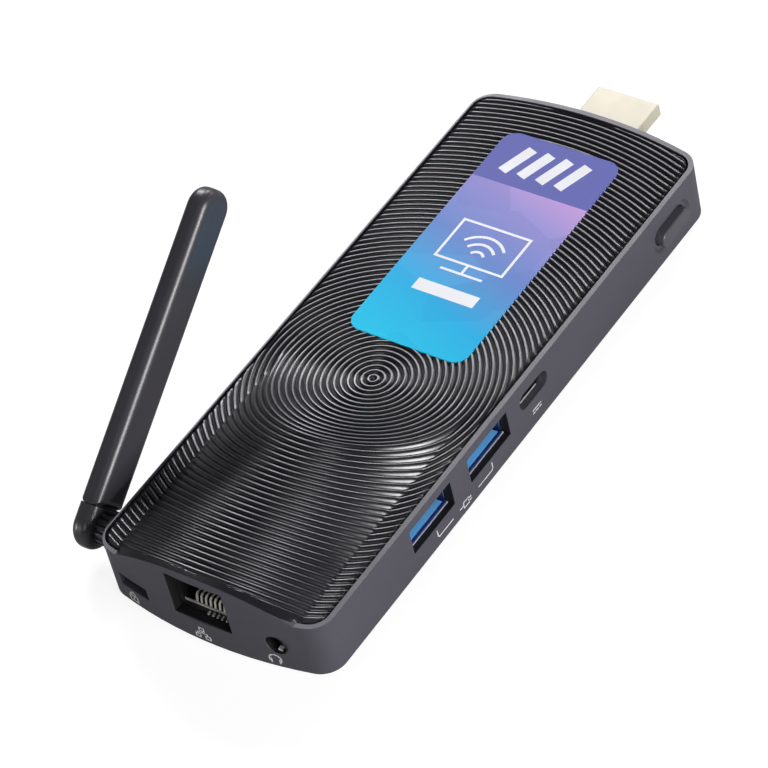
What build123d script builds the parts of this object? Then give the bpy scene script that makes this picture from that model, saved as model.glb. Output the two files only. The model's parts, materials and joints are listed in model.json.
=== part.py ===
from build123d import *
import math
import os

os.makedirs("parts", exist_ok=True)

# Stick computer with a video plug at its far end, ports on its right side and near end,
# and a folding antenna on its left side. Millimetres.
# Origin: centre of the underside. +Y towards the plug, +X towards the side ports, +Z up.

# Case
case_width = 50.0
case_length = 135.0
end_bow = 3.3
corner_radius = 4.8
rim_height = 12.8
wall = 1.9
rim_width = 1.0
cover_shift = 0.7
seam_gap = 0.2
foot_radius = 0.5
cover_drop = 0.1
cover_thickness = 1.2
bottom_thickness = 1.4
centre_line_x = -0.6
overrun = 3.0

# Crown over the near half of the cover
crown_rise = 6.0
crown_half_width = 20.2
crown_ramp_radius = 54.0
crown_ramp_start_y = -5.8
crown_lip = 0.25

# Label
label_width = 26.0
label_length = 57.5
label_near_y = -0.5
label_corner = 3.0
label_thickness = 0.3
label_proud = 0.15

# Circuit board and its stack
board_top = 4.2
board_thickness = 1.0
board_clearance = 0.5
pad_thickness = 0.5

# Screws and their posts
post_radius = 2.1
post_pilot_radius = 0.8
post_pilot_depth = 5.0
screw_radius = 0.8
screw_clearance = 0.25
screw_head_radius = 1.7
screw_head_height = 0.9
screw_bite = 3.5
board_screw_head_height = 0.8
driver_slot_width = 0.5
driver_slot_depth = 0.4

# Video plug
plug_width = 13.9
plug_height = 4.45
plug_side_height = 2.67
plug_bottom_width = 10.3
plug_reach = 11.4
plug_top = 8.07
plug_metal = 0.35
plug_tail = 9.5
plug_slot_width = 11.2
plug_slot_height = 2.0
plug_slot_depth = 8.5
plug_fit = 0.25
plug_contact_count = 9

# Side ports
usb_width = 12.9
usb_height = 5.5
usb_length = 14.0
usb_metal = 0.3
usb_centre_z = 7.95
usb_centre_ys = (-30.6, -11.9)
usb_fit = 0.15
usb_recess = 1.8
usb_liner = 0.25
tongue_width = 11.1
tongue_height = 1.84
tongue_length = 8.8
tongue_gap = 0.55
usb_back = 3.6
usb_rear = 1.0
contact_count = 4
contact_width = 1.0
contact_pitch = 2.2
contact_thickness = 0.15

# Small side port
usb_c_width = 8.94
usb_c_height = 3.26
usb_c_length = 7.4
usb_c_metal = 0.3
usb_c_centre_y = 3.3
usb_c_centre_z = 8.2
usb_c_fit = 0.15
usb_c_recess = 1.5
usb_c_tongue_width = 6.7
usb_c_tongue_height = 0.7
usb_c_tongue_recess = 0.6
usb_c_back = 1.4

# Power button and its switch
button_length = 9.8
button_height = 3.6
button_centre_y = 52.2
button_centre_z = 6.2
button_proud = 1.2
button_fit = 0.2
button_flange = 0.7
button_flange_thickness = 0.6
button_edge = 0.35
button_travel = 0.4
dish_depth = 0.6
dish_margin = 1.5
switch_length = 6.0
switch_height = 3.4
switch_depth = 2.6
switch_gap = 0.9
plunger_radius = 0.9
plunger_fit = 0.08
plunger_socket = 1.2

# Network port on the near end
lan_opening_width = 12.7
lan_opening_low_z = 5.9
lan_opening_high_z = 16.25
lan_centre_x = -0.2
lan_length = 15.0
lan_wall = 0.7
lan_metal = 0.25
lan_set_back = 0.4
lan_pin_count = 8
lan_pin_pitch = 1.02
lan_pin_width = 0.45
lan_pin_rise = 1.3
lan_pin_back = 2.5
lan_pin_lead = 1.0

# Sound jack
jack_bore_radius = 1.8
jack_hole_radius = 2.2
jack_centre_x = 15.1
jack_centre_z = 6.4
jack_width = 6.0
jack_height = 4.4
jack_length = 12.5
jack_bore_depth = 10.6
jack_contact = 0.4
jack_contact_radius = 1.4

# Lock slot
lock_width = 7.2
lock_height = 3.0
lock_centre_x = -16.9
lock_centre_z = 5.93
lock_plate_thickness = 0.8
lock_plate_margin = 0.9
lock_plate_back = 5.3

# Antenna, hinged about an axis along X
hinge_y = -57.8
hinge_z = 7.3
antenna_angle = 36.6
antenna_reach = 64.6
antenna_width = 9.2
antenna_thickness = 4.5
antenna_edge = 1.8
antenna_tip_radius = 4.0
antenna_seam = 3.4
antenna_seam_gap = 0.12
antenna_wall = 0.9
spigot_length = 5.0
spigot_fit = 0.1
core_thickness = 0.8
core_end_gap = 6.2
knuckle_gap = 4.4
boss_radius = 4.1
boss_flare = 1.3
boss_length = 2.0
boss_inner = 0.5
neck_radius = 3.1
neck_gap = 0.1
flute_count = 14
flute_radius = 0.45
pin_radius = 2.0
pin_bore_radius = 0.8
pin_fit = 0.05
pin_socket = 1.6
washer_radius = 2.9
washer_thickness = 0.4
washer_gap = 0.05
clip_thickness = 0.6
pin_tail = 0.6
cable_radius = 0.4
cable_end_gap = 0.3
cable_lane_x = -11.6
cable_bend = 10.0
cable_turn = 3.8
cable_far_lead = 14.0
cable_near_lead = 4.0

# Chips and other parts on the board
chip_height = 1.0
soc_length = 25.0
soc_width = 24.0
soc_height = 1.0
die_length = 13.0
die_width = 9.0
die_height = 0.4
soc_centre = (-3.0, 14.0)
spreader_width = 30.0
spreader_length = 30.0
memory_width = 12.0
memory_length = 8.0
memory_centres = ((-9.6, 35.0), (4.0, 35.0))
storage_width = 13.0
storage_length = 11.5
storage_centre = (2.0, 47.0)
cell_radius = 6.25
cell_height = 2.0
cell_centre = (-14.2, 46.0)
cell_tab_width = 2.4
cell_tab_thickness = 0.2
wifi_width = 12.0
wifi_length = 14.0
wifi_height = 2.0
wifi_centre = (-15.0, -16.0)
wifi_plug_radius = 1.3
wifi_plug_height = 1.6
coil_size = 5.0
coil_height = 3.0
coil_corner = 0.8
coil_centres = ((14.4, 35.0), (14.4, 42.0), (14.4, 49.0))
capacitor_length = 2.0
capacitor_width = 1.2
capacitor_height = 1.1
capacitor_centre_x = 20.6
capacitor_first_y = 14.0
capacitor_step_y = 3.2
capacitor_count = 8
transformer_width = 9.0
transformer_length = 11.0
transformer_height = 5.0
transformer_centre = (-1.0, -42.0)
network_chip_size = 6.0
network_chip_centre = (-1.0, -31.0)
power_chip_size = 4.0
power_chip_centres = ((15.4, 24.0), (3.0, -22.0))
near_left_post = (-16.6, -45.0)
near_right_post = (20.6, -57.2)
far_left_post = (-18.6, 58.8)
far_right_post = (18.6, 59.6)
board_screw_centres = ((-19.8, -5.6), (19.4, 44.6))

# Sizes worked out from the ones above
half_width = case_width / 2
half_length = case_length / 2
side_end_y = half_length - end_bow
bow_radius = (half_width ** 2 + end_bow ** 2) / (2 * end_bow)
cover_top = rim_height - cover_drop
cover_low = cover_top - cover_thickness
crown_top = cover_top + crown_rise
arch_radius = (crown_half_width ** 2 + crown_rise ** 2) / (2 * crown_rise)
arch_centre_z = crown_top - arch_radius
board_low = board_top - board_thickness
inner_x = half_width - wall
near_wall_y = -half_length + wall
cover_inset = rim_width + seam_gap
post_centres = (near_left_post, near_right_post, far_left_post, far_right_post)
blade_outer_x = -half_width - knuckle_gap - antenna_thickness
blade_inner_x = -half_width - knuckle_gap
neck_end_x = -half_width - boss_length - neck_gap
flange_x = inner_x - button_fit / 2


def drop_at(x):
    """How far the bowed end lies back from its crown at a distance x from the middle."""
    return bow_radius - math.sqrt(bow_radius ** 2 - x ** 2)


def case_plan(inset):
    """Plan of the case drawn in by an inset: straight sides, bowed ends, round corners."""
    with BuildSketch() as plan:
        with BuildLine():
            Line((-half_width, -side_end_y), (-half_width, side_end_y))
            ThreePointArc((-half_width, side_end_y), (0, half_length), (half_width, side_end_y))
            Line((half_width, side_end_y), (half_width, -side_end_y))
            ThreePointArc((half_width, -side_end_y), (0, -half_length), (-half_width, -side_end_y))
        make_face()
        fillet(plan.vertices(), corner_radius)
        if inset > 0:
            offset(amount=-inset)
    return plan.sketch


def case_prism(inset, low_z, high_z):
    """The case plan drawn in by an inset, as a solid between two heights."""
    with BuildPart() as prism:
        with BuildSketch(Plane.XY.offset(low_z)):
            add(case_plan(inset))
        extrude(amount=high_z - low_z)
    return prism.part


def top_prism(inset, low_z, high_z):
    """The plan of the cover's place: the case plan drawn in, and moved out over the left wall."""
    with BuildPart() as prism:
        for left_shift in (0, cover_shift):
            with BuildSketch(Plane(origin=(-left_shift, 0, low_z))):
                add(case_plan(inset))
            extrude(amount=high_z - low_z)
    return prism.part


def crown_solid(skin):
    """Solid under the crown's arch and ramp, drawn in by the thickness of a skin."""
    low_z = cover_top - skin
    with BuildPart() as crown:
        with BuildSketch(Plane.XZ.offset(-crown_ramp_start_y)):
            with Locations((0, arch_centre_z)):
                Circle(arch_radius - skin)
            with Locations((0, low_z)):
                Rectangle(case_width, crown_rise * 2, align=(Align.CENTER, Align.MIN), mode=Mode.INTERSECT)
        extrude(amount=half_length + crown_ramp_start_y + overrun)
        with BuildSketch(Plane.YZ.offset(-half_width)):
            with Locations((crown_ramp_start_y, cover_top + crown_ramp_radius)):
                Circle(crown_ramp_radius + skin)
        extrude(amount=case_width, mode=Mode.SUBTRACT)
    return crown.part


def finish(part_builder, name):
    """Label a finished piece and write it to its own file."""
    part_builder.part.label = name
    export_step(part_builder.part, "parts/" + name + ".step")


def block(centre, width, length, low_z, height, corner=0.0):
    """Upright block on the board, round at its vertical corners when a radius is given."""
    with BuildPart() as piece:
        with BuildSketch(Plane.XY.offset(low_z)):
            with Locations(centre):
                if corner > 0:
                    RectangleRounded(width, length, corner)
                else:
                    Rectangle(width, length)
        extrude(amount=height)
    return piece.part


def side_plane(x, y, z):
    """Plane on the right side, looking out along +X, with its own X along +Y."""
    return Plane(origin=(x, y, z), x_dir=(0, 1, 0), z_dir=(1, 0, 0))


def near_plane(x, y, z):
    """Plane at the near end, looking out along -Y, with its own X along +X."""
    return Plane(origin=(x, y, z), x_dir=(1, 0, 0), z_dir=(0, -1, 0))


def far_plane(x, y, z):
    """Plane at the far end, looking out along +Y, with its own X along -X."""
    return Plane(origin=(x, y, z), x_dir=(-1, 0, 0), z_dir=(0, 1, 0))


def hinge_plane(x):
    """Plane square to the hinge, with its own X along the antenna, looking along +X."""
    turn = math.radians(antenna_angle)
    along = (0, math.cos(turn), math.sin(turn))
    return Plane(origin=(x, hinge_y, hinge_z), x_dir=along, z_dir=(1, 0, 0))


# Side frame: the walls, the arched near end, the port openings and the antenna boss
usb_opening_width = usb_width + 2 * usb_fit
usb_opening_height = usb_height + 2 * usb_fit
with BuildPart() as front_arch:
    with BuildSketch(Plane.XZ):
        with Locations((0, arch_centre_z - crown_lip)):
            Circle(arch_radius)
        with Locations((0, rim_height - wall)):
            Rectangle(2 * crown_half_width, crown_rise * 2,
                      align=(Align.CENTER, Align.MIN), mode=Mode.INTERSECT)
    extrude(amount=half_length + overrun)
    add(case_prism(0, rim_height - wall, crown_top), mode=Mode.INTERSECT)

with BuildPart() as side_frame:
    add(case_prism(0, 0, rim_height))
    chamfer(side_frame.edges().group_by(Axis.Z)[0], foot_radius)
    add(front_arch.part)
    add(case_prism(wall, 0, cover_low), mode=Mode.SUBTRACT)
    add(case_prism(rim_width, 0, bottom_thickness), mode=Mode.SUBTRACT)
    # Antenna boss, flared where it meets the side wall
    with BuildSketch(Plane.YZ.offset(-inner_x + boss_inner)):
        with Locations((hinge_y, hinge_z)):
            Circle(boss_radius - wall / 2)
    extrude(amount=-(wall + boss_inner))
    with BuildSketch(Plane.YZ.offset(-half_width + wall / 2)) as boss_root:
        with Locations((hinge_y, hinge_z)):
            Circle(boss_radius + boss_flare)
    with BuildSketch(Plane.YZ.offset(-half_width - boss_length)) as boss_end:
        with Locations((hinge_y, hinge_z)):
            Circle(boss_radius - boss_flare / 2)
    loft()
    add(top_prism(rim_width, cover_low, crown_top + overrun), mode=Mode.SUBTRACT)
    with BuildSketch(Plane.YZ.offset(-half_width - boss_length)):
        with Locations((hinge_y, hinge_z)):
            Circle(pin_radius + pin_fit)
    extrude(amount=boss_length + wall + boss_inner + overrun, mode=Mode.SUBTRACT)
    # Two large side ports
    for usb_y in usb_centre_ys:
        with BuildSketch(side_plane(inner_x - overrun, usb_y, usb_centre_z)):
            Rectangle(usb_opening_width, usb_opening_height)
        extrude(amount=wall + 2 * overrun, mode=Mode.SUBTRACT)
    # Small side port
    with BuildSketch(side_plane(inner_x - overrun, usb_c_centre_y, usb_c_centre_z)):
        SlotOverall(usb_c_width + 2 * usb_c_fit, usb_c_height + 2 * usb_c_fit)
    extrude(amount=wall + 2 * overrun, mode=Mode.SUBTRACT)
    # Button opening in its dished recess
    with BuildSketch(side_plane(inner_x - overrun, button_centre_y, button_centre_z)):
        SlotOverall(button_length + 2 * button_fit, button_height + 2 * button_fit)
    extrude(amount=wall + 2 * overrun, mode=Mode.SUBTRACT)
    dish_floor_margin = 2 * (dish_margin - dish_depth)
    with BuildSketch(side_plane(half_width, button_centre_y, button_centre_z)):
        SlotOverall(button_length + 2 * dish_margin, button_height + 2 * dish_margin)
    with BuildSketch(side_plane(half_width - dish_depth, button_centre_y, button_centre_z)):
        SlotOverall(button_length + dish_floor_margin, button_height + dish_floor_margin)
    loft(mode=Mode.SUBTRACT)
    # Network, sound and lock openings in the near end
    lan_middle_z = (lan_opening_low_z + lan_opening_high_z) / 2
    with BuildSketch(near_plane(lan_centre_x, near_wall_y + overrun, lan_middle_z)):
        Rectangle(lan_opening_width, lan_opening_high_z - lan_opening_low_z)
    extrude(amount=wall + 2 * overrun, mode=Mode.SUBTRACT)
    with BuildSketch(near_plane(jack_centre_x, near_wall_y + overrun, jack_centre_z)):
        Circle(jack_hole_radius)
    extrude(amount=wall + 2 * overrun, mode=Mode.SUBTRACT)
    with BuildSketch(near_plane(lock_centre_x, near_wall_y + 2 * overrun, lock_centre_z)):
        Rectangle(lock_width, lock_height)
    extrude(amount=wall + 3 * overrun, mode=Mode.SUBTRACT)
    # Plug opening in the far end
    with BuildSketch(far_plane(centre_line_x, half_length - wall - overrun, plug_top - plug_height / 2)):
        Rectangle(plug_width + 2 * plug_fit, plug_height + 2 * plug_fit)
    extrude(amount=wall + 2 * overrun, mode=Mode.SUBTRACT)
finish(side_frame, "side_frame")

# Top cover: a flat plate with the crown over its near half, and four screw posts
crown_outer = crown_solid(0)
crown_inner = crown_solid(cover_thickness)
label_middle_y = label_near_y + label_length / 2
label_low = cover_top + label_proud - label_thickness
with BuildPart() as cover_envelope:
    add(crown_outer)
    add(top_prism(cover_inset, cover_low, crown_top + overrun), mode=Mode.INTERSECT)
    add(top_prism(cover_inset, board_top, cover_top))
with BuildPart() as cover_posts:
    with BuildSketch(Plane.XY.offset(board_top)):
        with Locations(*post_centres):
            Circle(post_radius)
    extrude(amount=crown_top)
    add(cover_envelope.part, mode=Mode.INTERSECT)
with BuildPart() as top_cover:
    add(cover_envelope.part)
    add(case_prism(0, 0, cover_low), mode=Mode.SUBTRACT)
    add(crown_inner, mode=Mode.SUBTRACT)
    add(cover_posts.part)
    with BuildSketch(Plane.XY.offset(board_top)):
        with Locations(*post_centres):
            Circle(post_pilot_radius)
    extrude(amount=post_pilot_depth, mode=Mode.SUBTRACT)
    with BuildSketch(Plane.XY.offset(label_low)):
        with Locations((centre_line_x, label_middle_y)):
            RectangleRounded(label_width, label_length, label_corner)
    extrude(amount=label_thickness, mode=Mode.SUBTRACT)
finish(top_cover, "top_cover")

# Label set into the flat of the cover
with BuildPart() as label:
    with BuildSketch(Plane.XY.offset(label_low)):
        with Locations((centre_line_x, label_middle_y)):
            RectangleRounded(label_width, label_length, label_corner)
    extrude(amount=label_thickness)
finish(label, "label")

# Bottom cover with a standoff at every screw
bottom_screw_centres = post_centres + board_screw_centres
with BuildPart() as bottom_cover:
    add(case_prism(cover_inset, 0, bottom_thickness))
    for standoff_centre in bottom_screw_centres:
        with BuildSketch(Plane.XY.offset(bottom_thickness)):
            with Locations(standoff_centre):
                Circle(post_radius)
        extrude(amount=board_low - bottom_thickness)
    for post_centre in post_centres:
        with BuildSketch():
            with Locations(post_centre):
                Circle(screw_radius + screw_clearance)
        extrude(amount=board_low, mode=Mode.SUBTRACT)
        with BuildSketch():
            with Locations(post_centre):
                Circle(screw_head_radius + screw_clearance)
        extrude(amount=screw_head_height, mode=Mode.SUBTRACT)
    for screw_centre in board_screw_centres:
        with BuildSketch(Plane.XY.offset(board_low)):
            with Locations(screw_centre):
                Circle(screw_radius)
        extrude(amount=bottom_thickness / 2 - board_low, mode=Mode.SUBTRACT)
finish(bottom_cover, "bottom_cover")

# Four case screws, driven from below through the bottom cover and the board into the posts
case_screw_length = board_top + screw_bite
with BuildPart() as case_screws:
    for post_centre in post_centres:
        with BuildSketch(Plane.XY.offset(seam_gap)):
            with Locations(post_centre):
                Circle(screw_head_radius)
        extrude(amount=screw_head_height - seam_gap)
        with BuildSketch(Plane.XY.offset(seam_gap)):
            with Locations(post_centre):
                Circle(screw_radius)
        extrude(amount=case_screw_length)
        with BuildSketch(Plane.XY.offset(seam_gap)):
            with Locations(post_centre):
                Rectangle(2 * screw_radius, driver_slot_width)
                Rectangle(driver_slot_width, 2 * screw_radius)
        extrude(amount=driver_slot_depth, mode=Mode.SUBTRACT)
finish(case_screws, "case_screws")

# Main board, drilled for the screws and notched behind the button
with BuildPart() as main_board:
    add(case_prism(wall + board_clearance, board_low, board_top))
    for hole_centre in bottom_screw_centres:
        with BuildSketch(Plane.XY.offset(board_low)):
            with Locations(hole_centre):
                Circle(screw_radius + screw_clearance)
        extrude(amount=board_thickness, mode=Mode.SUBTRACT)
    with BuildSketch(Plane.XY.offset(board_low)):
        with Locations((half_width, button_centre_y)):
            Rectangle(2 * (half_width - flange_x + button_flange_thickness + 2 * button_travel),
                      button_length + 2 * button_flange + 2 * board_clearance)
    extrude(amount=board_thickness, mode=Mode.SUBTRACT)
finish(main_board, "main_board")

# Two pan-head screws that hold the board to the bottom cover
with BuildPart() as board_screws:
    for screw_centre in board_screw_centres:
        with BuildSketch(Plane.XY.offset(board_top)):
            with Locations(screw_centre):
                Circle(screw_head_radius)
        extrude(amount=board_screw_head_height)
        with BuildSketch(Plane.XY.offset(board_top)):
            with Locations(screw_centre):
                Circle(screw_radius)
        extrude(amount=-(board_top - bottom_thickness))
        with BuildSketch(Plane.XY.offset(board_top + board_screw_head_height)):
            with Locations(screw_centre):
                Rectangle(2 * screw_radius, driver_slot_width)
                Rectangle(driver_slot_width, 2 * screw_radius)
        extrude(amount=-driver_slot_depth, mode=Mode.SUBTRACT)
finish(board_screws, "board_screws")

# Processor, its die, and the heat path up to the cover
with BuildPart() as processor:
    add(block(soc_centre, soc_width, soc_length, board_top, soc_height))
    add(block(soc_centre, die_width, die_length, board_top + soc_height, die_height))
finish(processor, "processor")
die_top = board_top + soc_height + die_height
with BuildPart() as lower_pad:
    add(block(soc_centre, die_width, die_length, die_top, pad_thickness))
finish(lower_pad, "lower_thermal_pad")
spreader_low = die_top + pad_thickness
spreader_top = cover_low - pad_thickness
with BuildPart() as heat_spreader:
    add(block(soc_centre, spreader_width, spreader_length, spreader_low, spreader_top - spreader_low))
    fillet(heat_spreader.edges().filter_by(Axis.Z), wall)
finish(heat_spreader, "heat_spreader")
with BuildPart() as upper_pad:
    add(block(soc_centre, spreader_width - 2 * wall, spreader_length - 2 * wall,
              spreader_top, pad_thickness))
finish(upper_pad, "upper_thermal_pad")

# Memory, storage and support chips
for memory_number, memory_centre in enumerate(memory_centres, start=1):
    with BuildPart() as memory_chip:
        add(block(memory_centre, memory_width, memory_length, board_top, chip_height))
    finish(memory_chip, "memory_chip_" + str(memory_number))
with BuildPart() as storage_chip:
    add(block(storage_centre, storage_width, storage_length, board_top, chip_height))
finish(storage_chip, "storage_chip")
with BuildPart() as network_chip:
    add(block(network_chip_centre, network_chip_size, network_chip_size, board_top, chip_height))
finish(network_chip, "network_chip")
with BuildPart() as power_chips:
    for chip_centre in power_chip_centres:
        add(block(chip_centre, power_chip_size, power_chip_size, board_top, chip_height))
finish(power_chips, "power_chips")

# Clock cell and the metal tab that holds it down
with BuildPart() as clock_cell:
    with BuildSketch(Plane.XY.offset(board_top)):
        with Locations(cell_centre):
            Circle(cell_radius)
    extrude(amount=cell_height)
finish(clock_cell, "clock_cell")
tab_x, tab_y = cell_centre
tab_reach = cell_radius + cell_tab_width
with BuildPart() as cell_tab:
    with BuildSketch(Plane.XY.offset(board_top + cell_height)):
        with Locations((tab_x, tab_y + tab_reach)):
            Rectangle(cell_tab_width, tab_reach, align=(Align.CENTER, Align.MAX))
    extrude(amount=cell_tab_thickness)
    with BuildSketch(Plane.XY.offset(board_top)):
        with Locations((tab_x, tab_y + tab_reach)):
            Rectangle(cell_tab_width, cell_tab_thickness, align=(Align.CENTER, Align.MAX))
    extrude(amount=cell_height)
finish(cell_tab, "cell_tab")

# Power coils and capacitors
with BuildPart() as power_coils:
    for coil_centre in coil_centres:
        add(block(coil_centre, coil_size, coil_size, board_top, coil_height, coil_corner))
finish(power_coils, "power_coils")
with BuildPart() as capacitors:
    for capacitor_index in range(capacitor_count):
        capacitor_y = capacitor_first_y + capacitor_index * capacitor_step_y
        add(block((capacitor_centre_x, capacitor_y), capacitor_width, capacitor_length,
                  board_top, capacitor_height))
finish(capacitors, "capacitors")
with BuildPart() as network_transformer:
    add(block(transformer_centre, transformer_width, transformer_length, board_top, transformer_height))
finish(network_transformer, "network_transformer")

# Wireless module and the aerial plug on it
with BuildPart() as wifi_module:
    add(block(wifi_centre, wifi_width, wifi_length, board_top, wifi_height))
    chamfer(wifi_module.faces().sort_by(Axis.Z)[-1].edges(), cell_tab_thickness)
finish(wifi_module, "wifi_module")
wifi_x, wifi_y = wifi_centre
wifi_top = board_top + wifi_height
aerial_plug_centre = (wifi_x - wifi_width / 4, wifi_y - wifi_length / 4)
with BuildPart() as aerial_plug:
    with BuildSketch(Plane.XY.offset(wifi_top)):
        with Locations(aerial_plug_centre):
            Circle(wifi_plug_radius)
    extrude(amount=wifi_plug_height)
finish(aerial_plug, "aerial_plug")

# Video plug: metal shell, plastic insulator and contacts
plug_low = plug_top - plug_height
plug_end_y = half_length + plug_reach
plug_start_y = half_length - wall - plug_tail


def plug_profile(inset):
    """Section of the plug: square upper corners, lower corners cut back."""
    half_top = plug_width / 2 - inset
    half_low = plug_bottom_width / 2 - inset / 2
    side_low = plug_top - plug_side_height
    with BuildSketch() as profile:
        with BuildLine():
            Polyline(
                (-half_top, plug_top - inset),
                (half_top, plug_top - inset),
                (half_top, side_low),
                (half_low, plug_low + inset),
                (-half_low, plug_low + inset),
                (-half_top, side_low),
                close=True,
            )
        make_face()
    return profile.sketch


with BuildPart() as hdmi_shell:
    with BuildSketch(far_plane(centre_line_x, half_length - wall, 0)):
        add(plug_profile(0))
    extrude(amount=plug_reach + wall)
    fillet(hdmi_shell.edges().filter_by(Axis.Y), plug_metal)
    with BuildSketch(far_plane(centre_line_x, half_length - wall, 0)):
        add(plug_profile(plug_metal))
    extrude(amount=plug_reach + wall, mode=Mode.SUBTRACT)
finish(hdmi_shell, "hdmi_shell")
plug_middle_z = plug_top - plug_height / 2
tail_height = plug_top - board_top
with BuildPart() as hdmi_insulator:
    with BuildSketch(far_plane(centre_line_x, half_length - wall, 0)):
        add(plug_profile(plug_metal))
    extrude(amount=plug_reach + wall - plug_metal)
    with BuildSketch(far_plane(centre_line_x, plug_start_y, board_top)):
        Rectangle(plug_width, tail_height, align=(Align.CENTER, Align.MIN))
    extrude(amount=plug_tail - plug_fit)
    with BuildSketch(far_plane(centre_line_x, plug_start_y, board_top + plug_metal)):
        Rectangle(plug_slot_width, tail_height - 2 * plug_metal, align=(Align.CENTER, Align.MIN))
    extrude(amount=plug_tail + plug_metal)
    with BuildSketch(far_plane(centre_line_x, plug_end_y - plug_slot_depth, plug_middle_z)):
        Rectangle(plug_slot_width, plug_slot_height)
    extrude(amount=plug_slot_depth, mode=Mode.SUBTRACT)
finish(hdmi_insulator, "hdmi_insulator")
plug_contact_pitch = plug_slot_width / (plug_contact_count + 1)
with BuildPart() as hdmi_contacts:
    for face_side in (-1, 1):
        contact_z = plug_middle_z + face_side * (plug_slot_height - contact_thickness) / 2
        for contact_index in range(plug_contact_count):
            contact_x = (contact_index - (plug_contact_count - 1) / 2) * plug_contact_pitch
            contact_plane = far_plane(centre_line_x + contact_x, plug_end_y - plug_slot_depth, contact_z)
            with BuildSketch(contact_plane):
                Rectangle(plug_contact_pitch / 2, contact_thickness)
            extrude(amount=plug_slot_depth - wall)
finish(hdmi_contacts, "hdmi_contacts")

# Two large side ports: shell, insulator with its tongue, and contacts
usb_face_x = half_width - usb_recess
usb_low = usb_centre_z - usb_height / 2
usb_inner_height = usb_height - 2 * usb_metal
tongue_z = usb_centre_z + usb_inner_height / 2 - tongue_gap - tongue_height / 2
for usb_number, usb_y in enumerate(usb_centre_ys, start=1):
    with BuildPart() as usb_shell:
        with BuildSketch(side_plane(usb_face_x, usb_y, usb_centre_z)):
            Rectangle(usb_width, usb_height)
        extrude(amount=-usb_length)
        fillet(usb_shell.edges().filter_by(Axis.X), usb_metal)
        with BuildSketch(side_plane(usb_face_x, usb_y, usb_centre_z)):
            Rectangle(usb_width - 2 * usb_metal, usb_inner_height)
        extrude(amount=-usb_length, mode=Mode.SUBTRACT)
    finish(usb_shell, "usb_shell_" + str(usb_number))
    with BuildPart() as usb_insulator:
        with BuildSketch(side_plane(usb_face_x - usb_length, usb_y, usb_centre_z)):
            Rectangle(usb_width - 2 * usb_metal, usb_inner_height)
        extrude(amount=usb_back)
        with BuildSketch(side_plane(usb_face_x - usb_length, usb_y, tongue_z)):
            Rectangle(tongue_width, tongue_height)
        extrude(amount=usb_back + tongue_length)
        with BuildSketch(side_plane(usb_face_x - usb_length, usb_y, board_top)):
            Rectangle(usb_width, usb_low + usb_height - board_top, align=(Align.CENTER, Align.MIN))
        extrude(amount=-usb_rear)
        with BuildSketch(side_plane(usb_face_x - usb_length - usb_rear, usb_y, board_top)):
            Rectangle(tongue_width, usb_low - board_top, align=(Align.CENTER, Align.MIN))
        extrude(amount=usb_length)
        with BuildSketch(side_plane(usb_face_x - usb_length, usb_y, usb_low + usb_metal)):
            Rectangle(tongue_width, usb_liner, align=(Align.CENTER, Align.MIN))
        extrude(amount=usb_length - usb_liner)
    finish(usb_insulator, "usb_insulator_" + str(usb_number))
    with BuildPart() as usb_contacts:
        contact_z = tongue_z - (tongue_height + contact_thickness) / 2
        for contact_index in range(contact_count):
            contact_y = usb_y + (contact_index - (contact_count - 1) / 2) * contact_pitch
            with BuildSketch(side_plane(usb_face_x - usb_length + usb_back, contact_y, contact_z)):
                Rectangle(contact_width, contact_thickness)
            extrude(amount=tongue_length - contact_width)
    finish(usb_contacts, "usb_contacts_" + str(usb_number))

# Small side port: shell, tongue with its raised base
usb_c_face_x = half_width - usb_c_recess
with BuildPart() as usb_c_shell:
    with BuildSketch(side_plane(usb_c_face_x, usb_c_centre_y, usb_c_centre_z)):
        SlotOverall(usb_c_width, usb_c_height)
        SlotOverall(usb_c_width - 2 * usb_c_metal, usb_c_height - 2 * usb_c_metal, mode=Mode.SUBTRACT)
    extrude(amount=-usb_c_length)
finish(usb_c_shell, "usb_c_shell")
usb_c_low = usb_c_centre_z - usb_c_height / 2
usb_c_flat = usb_c_width - usb_c_height
with BuildPart() as usb_c_insulator:
    with BuildSketch(side_plane(usb_c_face_x - usb_c_length, usb_c_centre_y, usb_c_centre_z)):
        SlotOverall(usb_c_width - 2 * usb_c_metal, usb_c_height - 2 * usb_c_metal)
    extrude(amount=usb_c_back)
    with BuildSketch(side_plane(usb_c_face_x - usb_c_length, usb_c_centre_y, usb_c_centre_z)):
        Rectangle(usb_c_tongue_width, usb_c_tongue_height)
    extrude(amount=usb_c_length - usb_c_tongue_recess)
finish(usb_c_insulator, "usb_c_insulator")
with BuildPart() as usb_c_riser:
    with BuildSketch(side_plane(usb_c_face_x - usb_c_length, usb_c_centre_y, board_top)):
        Rectangle(usb_c_flat, usb_c_low - board_top, align=(Align.CENTER, Align.MIN))
    extrude(amount=usb_c_length - usb_c_face_x + inner_x - usb_c_fit)
finish(usb_c_riser, "usb_c_riser")

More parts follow.
